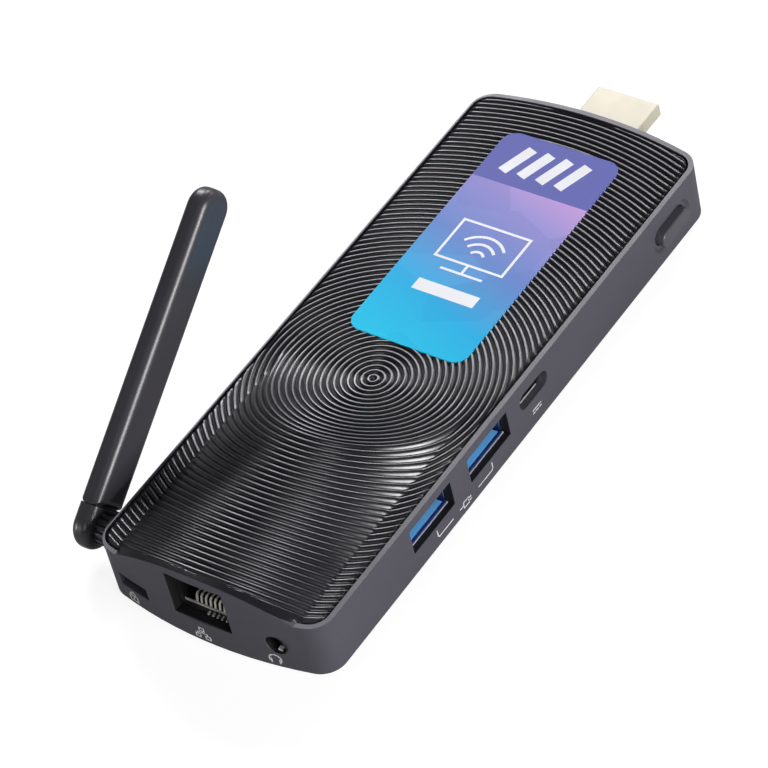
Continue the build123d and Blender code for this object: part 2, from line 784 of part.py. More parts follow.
# Network port: plastic housing in a metal shield, with spring contacts
lan_front_y = near_wall_y + lan_set_back
lan_inner_low = lan_opening_low_z + usb_fit
lan_inner_high = lan_opening_high_z - usb_fit
lan_inner_width = lan_opening_width - 2 * usb_fit
lan_top = lan_inner_high + lan_metal
lan_outer_width = lan_inner_width + 2 * lan_wall
with BuildPart() as lan_housing:
    with BuildSketch(near_plane(lan_centre_x, lan_front_y, board_top)):
        Rectangle(lan_outer_width, lan_top - board_top, align=(Align.CENTER, Align.MIN))
    extrude(amount=-lan_length)
    with BuildSketch(near_plane(lan_centre_x, lan_front_y, lan_inner_low)):
        Rectangle(lan_inner_width, lan_inner_high - lan_inner_low, align=(Align.CENTER, Align.MIN))
    extrude(amount=-(lan_length - lan_pin_back), mode=Mode.SUBTRACT)
finish(lan_housing, "lan_housing")
with BuildPart() as lan_shield:
    with BuildSketch(near_plane(lan_centre_x, lan_front_y, board_top)):
        Rectangle(lan_outer_width + 2 * lan_metal, lan_top + lan_metal - board_top,
                  align=(Align.CENTER, Align.MIN))
        Rectangle(lan_outer_width, lan_top - board_top,
                  align=(Align.CENTER, Align.MIN), mode=Mode.SUBTRACT)
    extrude(amount=-lan_length)
finish(lan_shield, "lan_shield")
lan_back_y = lan_front_y + lan_length - lan_pin_back
with BuildPart() as lan_contacts:
    for pin_index in range(lan_pin_count):
        pin_x = lan_centre_x + (pin_index - (lan_pin_count - 1) / 2) * lan_pin_pitch
        pin_plane = Plane(origin=(pin_x + lan_pin_width / 2, 0, 0), x_dir=(0, 1, 0), z_dir=(1, 0, 0))
        with BuildSketch(pin_plane):
            with BuildLine():
                Polyline(
                    (lan_front_y + lan_pin_lead, lan_inner_low),
                    (lan_front_y + lan_pin_lead + lan_pin_width, lan_inner_low),
                    (lan_back_y - lan_pin_back, lan_inner_low + lan_pin_rise - lan_pin_width),
                    (lan_back_y - lan_pin_back, lan_inner_low + lan_pin_rise),
                    (lan_front_y + lan_pin_lead, lan_inner_low + lan_pin_width),
                    close=True,
                )
            make_face()
        extrude(amount=-lan_pin_width)
finish(lan_contacts, "lan_contacts")

# Sound jack and its contact
jack_front_y = near_wall_y + drop_at(jack_centre_x + jack_width / 2) + board_clearance
with BuildPart() as audio_jack:
    with BuildSketch(near_plane(jack_centre_x, jack_front_y, jack_centre_z)):
        Rectangle(jack_width, jack_height)
    extrude(amount=-jack_length)
    with BuildSketch(near_plane(jack_centre_x, jack_front_y, jack_centre_z)):
        Circle(jack_bore_radius)
    extrude(amount=-jack_bore_depth, mode=Mode.SUBTRACT)
    with BuildSketch(near_plane(jack_centre_x, jack_front_y + jack_bore_depth, jack_centre_z)):
        Circle(jack_contact_radius)
    extrude(amount=-jack_contact, mode=Mode.SUBTRACT)
finish(audio_jack, "audio_jack")
with BuildPart() as audio_contact:
    with BuildSketch(near_plane(jack_centre_x, jack_front_y + jack_bore_depth, jack_centre_z)):
        Circle(jack_contact_radius)
    extrude(amount=-jack_contact)
finish(audio_contact, "audio_contact")

# Steel plate behind the lock slot, standing on the board
plate_y = near_wall_y + lock_plate_back - lock_plate_thickness
lock_plate_width = lock_width + 2 * lock_plate_margin
with BuildPart() as lock_plate:
    with BuildSketch(near_plane(lock_centre_x, plate_y, board_top)):
        Rectangle(lock_plate_width, cover_low - board_top, align=(Align.CENTER, Align.MIN))
    extrude(amount=-lock_plate_thickness)
    with BuildSketch(near_plane(lock_centre_x, plate_y, lock_centre_z)):
        Rectangle(lock_width, lock_height)
    extrude(amount=-lock_plate_thickness, mode=Mode.SUBTRACT)
finish(lock_plate, "lock_plate")

# Power switch, its plunger and the sprung button cap
cap_back_x = flange_x - button_flange_thickness
switch_face_x = cap_back_x - switch_gap
switch_centre_z = board_top + switch_height / 2
with BuildPart() as power_switch:
    with BuildSketch(side_plane(switch_face_x, button_centre_y, switch_centre_z)):
        Rectangle(switch_length, switch_height)
    extrude(amount=-switch_depth)
    with BuildSketch(side_plane(switch_face_x, button_centre_y, switch_centre_z)):
        Circle(plunger_radius + plunger_fit)
    extrude(amount=-(plunger_socket + button_travel), mode=Mode.SUBTRACT)
finish(power_switch, "power_switch")
with BuildPart() as switch_plunger:
    with BuildSketch(side_plane(cap_back_x, button_centre_y, switch_centre_z)):
        Circle(plunger_radius)
    extrude(amount=-(switch_gap + plunger_socket - button_travel))
finish(switch_plunger, "switch_plunger")
cap_edge_x = half_width + button_proud
with BuildPart() as power_button:
    with BuildSketch(side_plane(cap_back_x, button_centre_y, button_centre_z)):
        SlotOverall(button_length, button_height)
    extrude(amount=cap_edge_x - cap_back_x)
    fillet(power_button.faces().sort_by(Axis.X)[-1].edges(), button_edge)
    with BuildSketch(side_plane(cap_back_x, button_centre_y, button_centre_z)):
        SlotOverall(button_length + 2 * button_flange, button_height + 2 * button_flange)
    extrude(amount=button_flange_thickness)
finish(power_button, "power_button")

# Antenna: knuckle with its fluted neck, blade, core, hollow hinge pin and its clip
half_blade = antenna_width / 2
seat_x = -inner_x + boss_inner
washer_x = seat_x + washer_gap
clip_x = washer_x + washer_thickness + washer_gap
pin_tail_x = clip_x + clip_thickness + pin_tail
blade_middle_x = (blade_outer_x + blade_inner_x) / 2
cavity_thickness = antenna_thickness - 2 * antenna_wall
cavity_width = antenna_width - 2 * antenna_wall
with BuildPart() as antenna_knuckle:
    with BuildSketch(hinge_plane(blade_outer_x)):
        Circle(half_blade)
        Rectangle(antenna_seam, antenna_width, align=(Align.MIN, Align.CENTER))
        with Locations((antenna_seam, 0)):
            Rectangle(half_blade, antenna_width, align=(Align.MIN, Align.CENTER), mode=Mode.SUBTRACT)
    extrude(amount=antenna_thickness)
    rim_edges = antenna_knuckle.faces().sort_by(Axis.X)[0].edges()
    rim_edges += antenna_knuckle.faces().sort_by(Axis.X)[-1].edges()
    seam_check = hinge_plane(blade_outer_x)
    fillet([e for e in rim_edges if seam_check.to_local_coords(e.center()).X < antenna_seam - seam_gap],
           antenna_edge)
    with BuildSketch(hinge_plane(blade_middle_x - cavity_thickness / 2 + spigot_fit)):
        with Locations((antenna_seam, 0)):
            Rectangle(spigot_length, cavity_width - 2 * spigot_fit, align=(Align.MIN, Align.CENTER))
    extrude(amount=cavity_thickness - 2 * spigot_fit)
    with BuildSketch(hinge_plane(blade_inner_x)):
        Circle(neck_radius)
    extrude(amount=neck_end_x - blade_inner_x)
    with BuildSketch(hinge_plane(blade_inner_x)):
        with PolarLocations(neck_radius, flute_count):
            Circle(flute_radius)
    extrude(amount=neck_end_x - blade_inner_x, mode=Mode.SUBTRACT)
    with BuildSketch(hinge_plane(blade_inner_x - pin_socket)):
        Circle(pin_radius)
    extrude(amount=neck_end_x - blade_inner_x + pin_socket, mode=Mode.SUBTRACT)
    with BuildSketch(hinge_plane(blade_middle_x - cable_radius)):
        Circle(cable_radius)
        Rectangle(antenna_seam + spigot_length, 2 * cable_radius, align=(Align.MIN, Align.CENTER))
    extrude(amount=2 * cable_radius, mode=Mode.SUBTRACT)
    with BuildSketch(hinge_plane(blade_middle_x)):
        Circle(cable_radius)
    extrude(amount=blade_inner_x - blade_middle_x, mode=Mode.SUBTRACT)
finish(antenna_knuckle, "antenna_knuckle")

blade_start = antenna_seam + antenna_seam_gap
blade_plane = hinge_plane(blade_outer_x)
with BuildPart() as antenna_blade:
    with BuildSketch(blade_plane) as blade_plan:
        with Locations((blade_start, 0)):
            Rectangle(antenna_reach - blade_start, antenna_width, align=(Align.MIN, Align.CENTER))
        tip_corners = [v for v in blade_plan.vertices() if v.X > antenna_reach / 2]
        fillet(tip_corners, antenna_tip_radius)
    extrude(amount=antenna_thickness)
    side_edges = antenna_blade.faces().sort_by(Axis.X)[0].edges()
    side_edges += antenna_blade.faces().sort_by(Axis.X)[-1].edges()
    fillet([e for e in side_edges if blade_plane.to_local_coords(e.center()).X > blade_start], antenna_edge)
    with BuildSketch(hinge_plane(blade_outer_x + antenna_wall)):
        with Locations((blade_start, 0)):
            Rectangle(antenna_reach - blade_start - antenna_tip_radius, cavity_width,
                      align=(Align.MIN, Align.CENTER))
    extrude(amount=cavity_thickness, mode=Mode.SUBTRACT)
finish(antenna_blade, "antenna_blade")

core_start = antenna_seam + spigot_length
core_length = antenna_reach - antenna_tip_radius - core_end_gap - core_start
with BuildPart() as antenna_core:
    with BuildSketch(hinge_plane(blade_middle_x - core_thickness / 2)):
        with Locations((core_start, 0)):
            Rectangle(core_length, cavity_width - 2 * antenna_wall, align=(Align.MIN, Align.CENTER))
    extrude(amount=core_thickness)
finish(antenna_core, "antenna_core")

with BuildPart() as hinge_pin:
    with BuildSketch(hinge_plane(blade_inner_x - pin_socket)):
        Circle(pin_radius)
        Circle(pin_bore_radius, mode=Mode.SUBTRACT)
    extrude(amount=pin_tail_x - blade_inner_x + pin_socket)
finish(hinge_pin, "hinge_pin")

with BuildPart() as hinge_washer:
    with BuildSketch(hinge_plane(washer_x)):
        Circle(washer_radius)
        Circle(pin_radius + pin_fit, mode=Mode.SUBTRACT)
    extrude(amount=washer_thickness)
finish(hinge_washer, "hinge_washer")

with BuildPart() as hinge_clip:
    with BuildSketch(hinge_plane(clip_x)):
        Circle(washer_radius)
        Circle(pin_radius, mode=Mode.SUBTRACT)
        with Locations((0, -pin_radius)):
            Rectangle(pin_radius, 2 * pin_radius, mode=Mode.SUBTRACT)
    extrude(amount=clip_thickness)
finish(hinge_clip, "hinge_clip")

# Aerial cable: a run through the pin that turns with the antenna, and a fixed run in the case
feed_plane = hinge_plane(blade_middle_x)
with BuildPart() as feed_cable:
    with BuildSketch(hinge_plane(blade_middle_x - cable_radius)):
        Circle(cable_radius)
    extrude(amount=pin_tail_x - blade_middle_x + cable_radius)
    with BuildSketch(Plane(origin=feed_plane.origin, z_dir=feed_plane.x_dir)):
        Circle(cable_radius)
    extrude(amount=core_start)
finish(feed_cable, "feed_cable")

lane_x = cable_lane_x
post_x, post_y = near_left_post
cable_start = (aerial_plug_centre[0], aerial_plug_centre[1] - wifi_plug_radius, hinge_z)
cable_points = [
    cable_start,
    (cable_start[0], post_y + cable_far_lead, hinge_z),
    (lane_x, post_y + cable_near_lead, hinge_z),
    (lane_x, hinge_y, hinge_z),
    (pin_tail_x + cable_end_gap, hinge_y, hinge_z),
]
cable_radii = [cable_bend, cable_bend, cable_turn]
with BuildPart() as aerial_cable:
    with BuildLine() as cable_route:
        FilletPolyline(*cable_points, radius=cable_radii)
    with BuildSketch(Plane(origin=cable_start, z_dir=(0, -1, 0))):
        Circle(cable_radius)
    sweep()
finish(aerial_cable, "aerial_cable")
print("cable radii", cable_radii, "length", round(cable_route.wire().length, 1),
      "volume", round(aerial_cable.part.volume, 2),
      "section by length", round(math.pi * cable_radius ** 2 * cable_route.wire().length, 2))
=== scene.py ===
"""A stick computer with a rippled cover, side and end ports, a video plug and a folding antenna."""
import json
import math

import bmesh
import bpy
import numpy as np
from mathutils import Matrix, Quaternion, Vector


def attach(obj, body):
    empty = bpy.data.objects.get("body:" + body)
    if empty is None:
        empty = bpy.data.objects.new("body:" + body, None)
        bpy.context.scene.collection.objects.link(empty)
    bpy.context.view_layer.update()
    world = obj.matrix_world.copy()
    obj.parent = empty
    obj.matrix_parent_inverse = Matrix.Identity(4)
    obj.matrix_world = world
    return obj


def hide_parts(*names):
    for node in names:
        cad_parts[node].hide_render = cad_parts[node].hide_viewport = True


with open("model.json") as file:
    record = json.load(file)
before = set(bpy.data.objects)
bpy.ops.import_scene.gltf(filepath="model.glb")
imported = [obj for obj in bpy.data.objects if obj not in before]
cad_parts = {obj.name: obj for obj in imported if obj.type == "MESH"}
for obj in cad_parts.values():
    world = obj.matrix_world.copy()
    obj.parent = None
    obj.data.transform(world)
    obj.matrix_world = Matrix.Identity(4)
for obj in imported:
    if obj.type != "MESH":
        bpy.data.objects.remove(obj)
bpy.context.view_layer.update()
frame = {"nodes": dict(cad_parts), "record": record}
scene = bpy.context.scene
scene.view_settings.view_transform = "Standard"
MM = 0.001

# Sizes of the case, in millimetres
HALF_WIDTH = 25.0
HALF_LENGTH = 67.5
END_BOW = 3.3
CORNER_RADIUS = 4.8
COVER_INSET = 1.2
COVER_SHIFT = 0.7
COVER_TOP = 12.7
COVER_THICKNESS = 1.0
BOW_RADIUS = (HALF_WIDTH ** 2 + END_BOW ** 2) / (2 * END_BOW)

# Ripples of the cover, with lengths in millimetres
RIPPLE_CENTRE = (-0.8, -9.9)
RIPPLE_PITCH = 1.25
RIPPLE_FIRST = 0.93
RIPPLE_LAST = 56.56
RIPPLE_COUNT = 66
RIPPLE_DEPTH = 0.50
CREST_SHARE = 0.42
VALLEY_POWER = 2.4
RING_PHASES = (0.0, 0.17, 0.34, 0.5, 0.66, 0.83)
SMALLEST_RING = 0.25
CORNER_RISE = 0.06
CORNER_SLOPE = 0.15
CROWN_RISE = 6.0
CROWN_HALF_WIDTH = 20.2
RAMP_RADIUS = 54.0
RAMP_START_Y = -5.8
WALL_WIDTH = 0.35
WALL_DROP = 0.5
NEAR_REACH = 19.6
NEAR_WALL_INSET = 0.08
NEAR_NORMAL_Y = -0.9
TOUCH = 0.00001
SLIVER = 0.002
MERGE = 0.004

# Label, signs and port details, with lengths in millimetres
LABEL_CENTRE = (-0.6, 28.25)
LABEL_SIZE = (26.0, 57.5)
LABEL_CORNER = 3.0
LABEL_TOP = 0.27
LABEL_SINK = 0.1
BAND_START_Y = 15.3
SIGN_LIFT = 0.03
SIGN_SINK = 0.05
ART_LIFT = 0.02
ART_SINK = 0.03
MITRE_LIMIT = 0.45
SPRING_PITCH = 1.02
SPRING_COUNT = 8
SPRINGS_MIDDLE_X = -0.2
SOUND_HOLE = (15.1, 6.4)
USB_CENTRES_Y = (-30.6, -11.9)

# Studio and grain, with lengths in metres
WORLD_LIGHT = 0.04
WORLD_MIRRORED = 0.03
FLOOR_HALF_SIZE = 3.0
FLOOR_DROP = 0.0002
FLOOR_TONE = 0.3
FLOOR_GLOW = 0.84
FLOOR_MIRRORED = 0.1
COOL_WHITE = (0.96, 0.95, 1.0)
GRAIN_SCALE = 9000


# Camera, lights and floor
def place_camera():
    """The photograph's viewpoint, solved from the edges of the case."""
    data = bpy.data.cameras.new("photo_camera")
    data.sensor_width = 36
    data.lens = 179.06
    data.clip_start = 0.01
    data.clip_end = 20
    camera = bpy.data.objects.new("photo_camera", data)
    camera.location = (0.346385, -0.365112, 0.503179)
    camera.rotation_mode = "QUATERNION"
    camera.rotation_quaternion = Quaternion((0.892047, 0.335622, 0.188082, 0.237137))
    scene.collection.objects.link(camera)
    scene.camera = camera


def softbox(name, place, width, height, power, colour=(1, 1, 1)):
    """A rectangular studio lamp at a place, aimed at the computer."""
    data = bpy.data.lights.new(name, "AREA")
    data.shape = "RECTANGLE"
    data.size = width
    data.size_y = height
    data.energy = power
    data.color = colour
    lamp = bpy.data.objects.new(name, data)
    lamp.location = place
    lamp.rotation_mode = "QUATERNION"
    lamp.rotation_quaternion = (-Vector(place)).to_track_quat("-Z", "Y")
    scene.collection.objects.link(lamp)


def seen_share(nodes, links, paths, glossy):
    """How much of the white surround a ray sees: all of it, or in a mirrored ray only a share."""
    dimmed = nodes.new("ShaderNodeMath")
    dimmed.operation = "MULTIPLY"
    dimmed.inputs[1].default_value = glossy
    links.new(paths.outputs["Is Glossy Ray"], dimmed.inputs[0])
    source = dimmed.outputs[0]
    for name in ("Is Transmission Ray", "Is Camera Ray"):
        both = nodes.new("ShaderNodeMath")
        both.operation = "MAXIMUM"
        links.new(source, both.inputs[0])
        links.new(paths.outputs[name], both.inputs[1])
        source = both.outputs[0]
    return source


def studio_world():
    """A surround that is white to the camera, and dim as a light and in mirrored rays."""
    world = bpy.data.worlds.new("studio_world")
    world.use_nodes = True
    nodes, links = world.node_tree.nodes, world.node_tree.links
    nodes.clear()
    paths = nodes.new("ShaderNodeLightPath")
    white = nodes.new("ShaderNodeBackground")
    white.inputs["Color"].default_value = (1, 1, 1, 1)
    dim = nodes.new("ShaderNodeBackground")
    dim.inputs["Color"].default_value = (0.95, 0.96, 1.0, 1)
    dim.inputs["Strength"].default_value = WORLD_LIGHT
    choose = nodes.new("ShaderNodeMixShader")
    out = nodes.new("ShaderNodeOutputWorld")
    links.new(seen_share(nodes, links, paths, WORLD_MIRRORED), choose.inputs["Fac"])
    links.new(dim.outputs[0], choose.inputs[1])
    links.new(white.outputs[0], choose.inputs[2])
    links.new(choose.outputs[0], out.inputs["Surface"])
    scene.world = world


def pale_floor():
    """The plain floor that the computer lies on."""
    mesh = bpy.data.meshes.new("studio_floor")
    size = FLOOR_HALF_SIZE
    corners = [(-size, -size, 0), (size, -size, 0), (size, size, 0), (-size, size, 0)]
    mesh.from_pydata(corners, [], [(0, 1, 2, 3)])
    floor = bpy.data.objects.new("studio_floor", mesh)
    floor.location = (0, 0, -FLOOR_DROP)
    scene.collection.objects.link(floor)
    material = bpy.data.materials.new("floor_white")
    material.use_nodes = True
    nodes, links = material.node_tree.nodes, material.node_tree.links
    nodes.clear()
    paths = nodes.new("ShaderNodeLightPath")
    matt = nodes.new("ShaderNodeBsdfDiffuse")
    matt.inputs["Color"].default_value = (FLOOR_TONE, FLOOR_TONE, FLOOR_TONE, 1)
    glow = nodes.new("ShaderNodeEmission")
    glow.inputs["Color"].default_value = (1, 1, 1, 1)
    glow.inputs["Strength"].default_value = FLOOR_GLOW
    both = nodes.new("ShaderNodeAddShader")
    choose = nodes.new("ShaderNodeMixShader")
    out = nodes.new("ShaderNodeOutputMaterial")
    links.new(matt.outputs[0], both.inputs[0])
    links.new(glow.outputs[0], both.inputs[1])
    links.new(seen_share(nodes, links, paths, FLOOR_MIRRORED), choose.inputs["Fac"])
    links.new(matt.outputs[0], choose.inputs[1])
    links.new(both.outputs[0], choose.inputs[2])
    links.new(choose.outputs[0], out.inputs["Surface"])
    mesh.materials.append(material)


place_camera()
studio_world()
pale_floor()
softbox("key_softbox", (-0.68, 0.70, 0.70), 0.34, 0.3, 7.2, COOL_WHITE)
softbox("fan_softbox", (-0.24, 0.98, 0.68), 0.32, 0.3, 5.2, COOL_WHITE)
softbox("far_softbox", (0.35, 0.95, 0.45), 0.4, 0.2, 1.5)
softbox("right_softbox", (0.88, -0.20, 0.24), 0.45, 0.3, 10.0)
softbox("near_softbox", (-0.80, -0.75, 0.13), 0.25, 0.22, 3.0)
softbox("front_softbox", (0.10, -0.78, 0.44), 0.2, 0.2, 0.9)


# Materials
class Recipe:
    """A material being built: its nodes, and short ways to add and join them."""

    def __init__(self, name):
        self.material = bpy.data.materials.new(name)
        self.material.use_nodes = True
        self.nodes = self.material.node_tree.nodes
        self.links = self.material.node_tree.links
        self.shader = self.nodes["Principled BSDF"]
        self.place = self.nodes.new("ShaderNodeTexCoord").outputs["Object"]

    def set(self, **values):
        for name, value in values.items():
            self.shader.inputs[name.replace("_", " ")].default_value = value
        return self

    def noise(self, scale, detail, rough=0.5, stretch=None):
        node = self.nodes.new("ShaderNodeTexNoise")
        node.inputs["Scale"].default_value = scale
        node.inputs["Detail"].default_value = detail
        node.inputs["Roughness"].default_value = rough
        source = self.place
        if stretch:
            mapping = self.nodes.new("ShaderNodeMapping")
            mapping.inputs["Scale"].default_value = stretch
            self.links.new(self.place, mapping.inputs["Vector"])
            source = mapping.outputs["Vector"]
        self.links.new(source, node.inputs["Vector"])
        return node.outputs["Fac"]

    def range(self, source, low, high, to_low, to_high):
        node = self.nodes.new("ShaderNodeMapRange")
        for name, value in (("From Min", low), ("From Max", high), ("To Min", to_low), ("To Max", to_high)):
            node.inputs[name].default_value = value
        self.links.new(source, node.inputs["Value"])
        return node.outputs["Result"]

    def maths(self, operation, a, b):
        node = self.nodes.new("ShaderNodeMath")
        node.operation = operation
        for socket, value in zip(node.inputs, (a, b)):
            if isinstance(value, (int, float)):
                socket.default_value = value
            else:
                self.links.new(value, socket)
        return node.outputs[0]

    def blend(self, share, low, high, kind="MIX"):
        node = self.nodes.new("ShaderNodeMix")
        node.data_type = "RGBA"
        node.blend_type = kind
        for socket, value in ((node.inputs[0], share), (node.inputs[6], low), (node.inputs[7], high)):
            if isinstance(value, (tuple, list)):
                socket.default_value = tuple(value) + (1,)
            elif isinstance(value, (int, float)):
                socket.default_value = value
            else:
                self.links.new(value, socket)
        return node.outputs[2]

    def into(self, source, name):
        self.links.new(source, self.shader.inputs[name])

    def bump(self, source, depth, strength):
        node = self.nodes.new("ShaderNodeBump")
        node.inputs["Strength"].default_value = strength
        node.inputs["Distance"].default_value = depth
        self.links.new(source, node.inputs["Height"])
        self.links.new(node.outputs["Normal"], self.shader.inputs["Normal"])


def shade(colour, factor):
    """A colour made lighter or darker."""
    return tuple(min(1.0, channel * factor) for channel in colour)


def moulded_plastic(name, colour, roughness, grain_depth=0.000012, specular=0.5):
    """Satin moulded plastic: fine spark-eroded grain, slight cloudiness in colour and gloss."""
    r = Recipe(name).set(Metallic=0.0, IOR=1.5, Specular_IOR_Level=specular)
    cloud = r.noise(45, 3)
    r.into(r.blend(r.range(cloud, 0.3, 0.7, 0, 1), shade(colour, 0.93), shade(colour, 1.07)), "Base Color")
    r.into(r.range(r.noise(160, 4), 0.25, 0.75, roughness - 0.04, roughness + 0.05), "Roughness")
    r.bump(r.noise(GRAIN_SCALE, 3, 0.6), grain_depth, 0.5)
    return r.material


def drawn_metal(name, colour, roughness, stretch, scale=900, depth=0.000004, metallic=1.0, spread=1.0):
    """Plated or drawn metal with fine lines along one direction and slight tarnish."""
    r = Recipe(name).set(Metallic=metallic)
    lines = r.noise(scale, 4, 0.6, stretch)
    stain = r.noise(120, 3)
    r.into(r.blend(r.range(stain, 0.35, 0.75, 0, 1), colour, shade(colour, 0.86)), "Base Color")
    r.into(r.range(lines, 0.3, 0.7, roughness - 0.05 * spread, roughness + 0.07 * spread), "Roughness")
    r.bump(lines, depth, 0.35)
    return r.material


def speckled(name, colour, fleck, scale, roughness, metallic=0.0, coat=0.0):
    """A board, chip, pad or ceramic: base colour with fine flecks."""
    r = Recipe(name).set(Metallic=metallic, Coat_Weight=coat, Coat_Roughness=0.15)
    dots = r.noise(scale, 2)
    r.into(r.blend(r.range(dots, 0.52, 0.68, 0, 1), colour, fleck), "Base Color")
    r.into(r.range(r.noise(scale / 4, 2), 0.3, 0.7, roughness - 0.05, roughness + 0.05), "Roughness")
    r.bump(dots, 0.00001, 0.3)
    return r.material


materials = {
    "case_plastic": moulded_plastic("case_plastic", (0.066, 0.063, 0.079), 0.40),
    "cover_plastic": moulded_plastic("cover_plastic", (0.006, 0.0057, 0.0088), 0.31, 0.000001, 0.85),
    "antenna_plastic": moulded_plastic("antenna_plastic", (0.042, 0.040, 0.047), 0.33),
    "button_plastic": moulded_plastic("button_plastic", (0.072, 0.069, 0.082), 0.36),
    "port_black": moulded_plastic("port_black", (0.010, 0.010, 0.011), 0.45),
    "tongue_blue": moulded_plastic("tongue_blue", (0.19, 0.56, 0.97), 0.45, 0.000002),
    "cable_jacket": moulded_plastic("cable_jacket", (0.015, 0.015, 0.016), 0.5),
    "plug_gold": drawn_metal("plug_gold", (0.60, 0.565, 0.445), 0.5, (1, 1, 1), 500, 0.0000003, 0.25, 0.15),
    "contact_gold": drawn_metal("contact_gold", (0.94, 0.82, 0.55), 0.25, (1, 0.1, 1), 900, 0.000001, 0.7),
    "port_steel": drawn_metal("port_steel", (0.62, 0.62, 0.64), 0.22, (0.08, 1, 1)),
    "spring_steel": drawn_metal("spring_steel", (0.72, 0.72, 0.74), 0.20, (1, 1, 0.1)),
    "hinge_steel": drawn_metal("hinge_steel", (0.42, 0.42, 0.44), 0.30, (0.1, 1, 1)),
    "screw_steel": drawn_metal("screw_steel", (0.40, 0.40, 0.42), 0.32, (1, 1, 0.1)),
    "shield_tin": drawn_metal("shield_tin", (0.62, 0.62, 0.60), 0.35, (1, 0.1, 1)),
    "cell_steel": drawn_metal("cell_steel", (0.66, 0.66, 0.67), 0.25, (1, 0.1, 1)),
    "spreader_aluminium": drawn_metal("spreader_aluminium", (0.72, 0.72, 0.73), 0.33, (0.06, 1, 1)),
    "board_laminate": speckled("board_laminate", (0.010, 0.075, 0.035), (0.02, 0.12, 0.06), 2600, 0.35,
                               coat=0.4),
    "chip_epoxy": speckled("chip_epoxy", (0.02, 0.02, 0.021), (0.04, 0.04, 0.042), 5200, 0.55),
    "die_silicon": speckled("die_silicon", (0.07, 0.08, 0.10), (0.12, 0.13, 0.15), 1800, 0.2, 0.4),
    "pad_silicone": speckled("pad_silicone", (0.34, 0.38, 0.42), (0.24, 0.27, 0.31), 3600, 0.8),
    "coil_ferrite": speckled("coil_ferrite", (0.055, 0.055, 0.06), (0.09, 0.09, 0.095), 4200, 0.6),
    "capacitor_ceramic": speckled("capacitor_ceramic", (0.40, 0.29, 0.18), (0.50, 0.38, 0.25), 3000, 0.4),
}
slot_of = {row["node"]: row["material_slot"] for row in frame["record"]["subparts"]}
for name, node in frame["nodes"].items():
    if slot_of[name] in materials:
        for holder in node.material_slots:
            holder.material = materials[slot_of[name]]


# Shared ways to make a piece
def piece(name, mesh, slot, material=None, body="case"):
    """A finished object from a mesh in metres, riding on a body."""
    thing = bpy.data.objects.new(name, mesh)
    scene.collection.objects.link(thing)
    mesh.materials.clear()
    mesh.materials.append(material or materials[slot])
    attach(thing, body)
    return thing


def settled(thing):
    """The mesh of an object with its modifiers applied."""
    depsgraph = bpy.context.evaluated_depsgraph_get()
    mesh = bpy.data.meshes.new_from_object(thing.evaluated_get(depsgraph))
    bpy.data.objects.remove(thing)
    return mesh


def mesh_of(name, shape):
    """A mesh in metres from a closed shape in millimetres, which is used up."""
    bmesh.ops.recalc_face_normals(shape, faces=shape.faces)
    bmesh.ops.scale(shape, verts=shape.verts, vec=(MM, MM, MM))
    mesh = bpy.data.meshes.new(name)
    shape.to_mesh(mesh)
    shape.free()
    return mesh


def drop_at(x):
    """How far a bowed end lies back from its crown at a distance x from the middle."""
    return BOW_RADIUS - math.sqrt(BOW_RADIUS ** 2 - x ** 2)


def case_outline(inset):
    """The case's plan as a convex loop of points, drawn in by an inset."""
    steps = 7
    bow_centre_y = HALF_LENGTH - BOW_RADIUS
    inner_bow = BOW_RADIUS - CORNER_RADIUS
    corner_x = HALF_WIDTH - CORNER_RADIUS
    corner_y = bow_centre_y + math.sqrt(inner_bow ** 2 - corner_x ** 2)
    bow_angle = math.atan2(corner_x, corner_y - bow_centre_y)
    quarter = []
    for i in range(steps + 1):
        angle = bow_angle * i / steps
        radius = BOW_RADIUS - inset
        quarter.append((radius * math.sin(angle), bow_centre_y + radius * math.cos(angle)))
    for i in range(1, steps + 1):
        angle = bow_angle + (math.pi / 2 - bow_angle) * i / steps
        radius = CORNER_RADIUS - inset
        quarter.append((corner_x + radius * math.sin(angle), corner_y + radius * math.cos(angle)))
    far = [(-x, y) for x, y in reversed(quarter)] + quarter[1:]
    return (far + [(-x, -y) for x, y in far])[::-1]


# Rippled cover
def planes_of(outline):
    """The outward normals and distances of the sides of a convex outline."""
    corners = np.array(outline)
    along = np.roll(corners, -1, axis=0) - corners
    outward = np.stack([along[:, 1], -along[:, 0]], 1) / np.linalg.norm(along, axis=1)[:, None]
    return outward, (outward * corners).sum(1)


def ring_web():
    """A flat web of rings round the ripples' centre, as points and faces."""
    radii = sorted({round(RIPPLE_FIRST + RIPPLE_PITCH * (turn + phase), 5)
                    for turn in range(-1, RIPPLE_COUNT) for phase in RING_PHASES})
    radii = [r for r in radii if r > SMALLEST_RING]
    centre = np.array(RIPPLE_CENTRE)
    # The number of points round a ring doubles outwards, so that faces stay of a like size
    counts = [48 if r < 5 else 96 if r < 13 else 192 if r < 34 else 384 for r in radii]
    points, starts = [centre], []
    for radius, count in zip(radii, counts):
        starts.append(len(points))
        angles = np.arange(count) * (2 * math.pi / count)
        points.extend(centre + radius * np.stack([np.cos(angles), np.sin(angles)], 1))
    faces = [(0, starts[0] + i, starts[0] + (i + 1) % counts[0]) for i in range(counts[0])]
    for ring in range(len(radii) - 1):
        inner, outer, fewer, more = starts[ring], starts[ring + 1], counts[ring], counts[ring + 1]
        for i in range(fewer):
            j = (i + 1) % fewer
            if fewer == more:
                faces.append((inner + i, outer + i, outer + j, inner + j))
            else:
                k = 2 * i
                faces.append((inner + i, outer + k, outer + k + 1))
                faces.append((inner + i, outer + k + 1, inner + j))
                faces.append((inner + j, outer + k + 1, outer + (k + 2) % more))
    return np.array(points), faces


def past(place, planes):
    """How far each place lies outside a convex outline, below 0 inside it."""
    return (np.atleast_2d(place) @ planes[0].T - planes[1]).max(1)


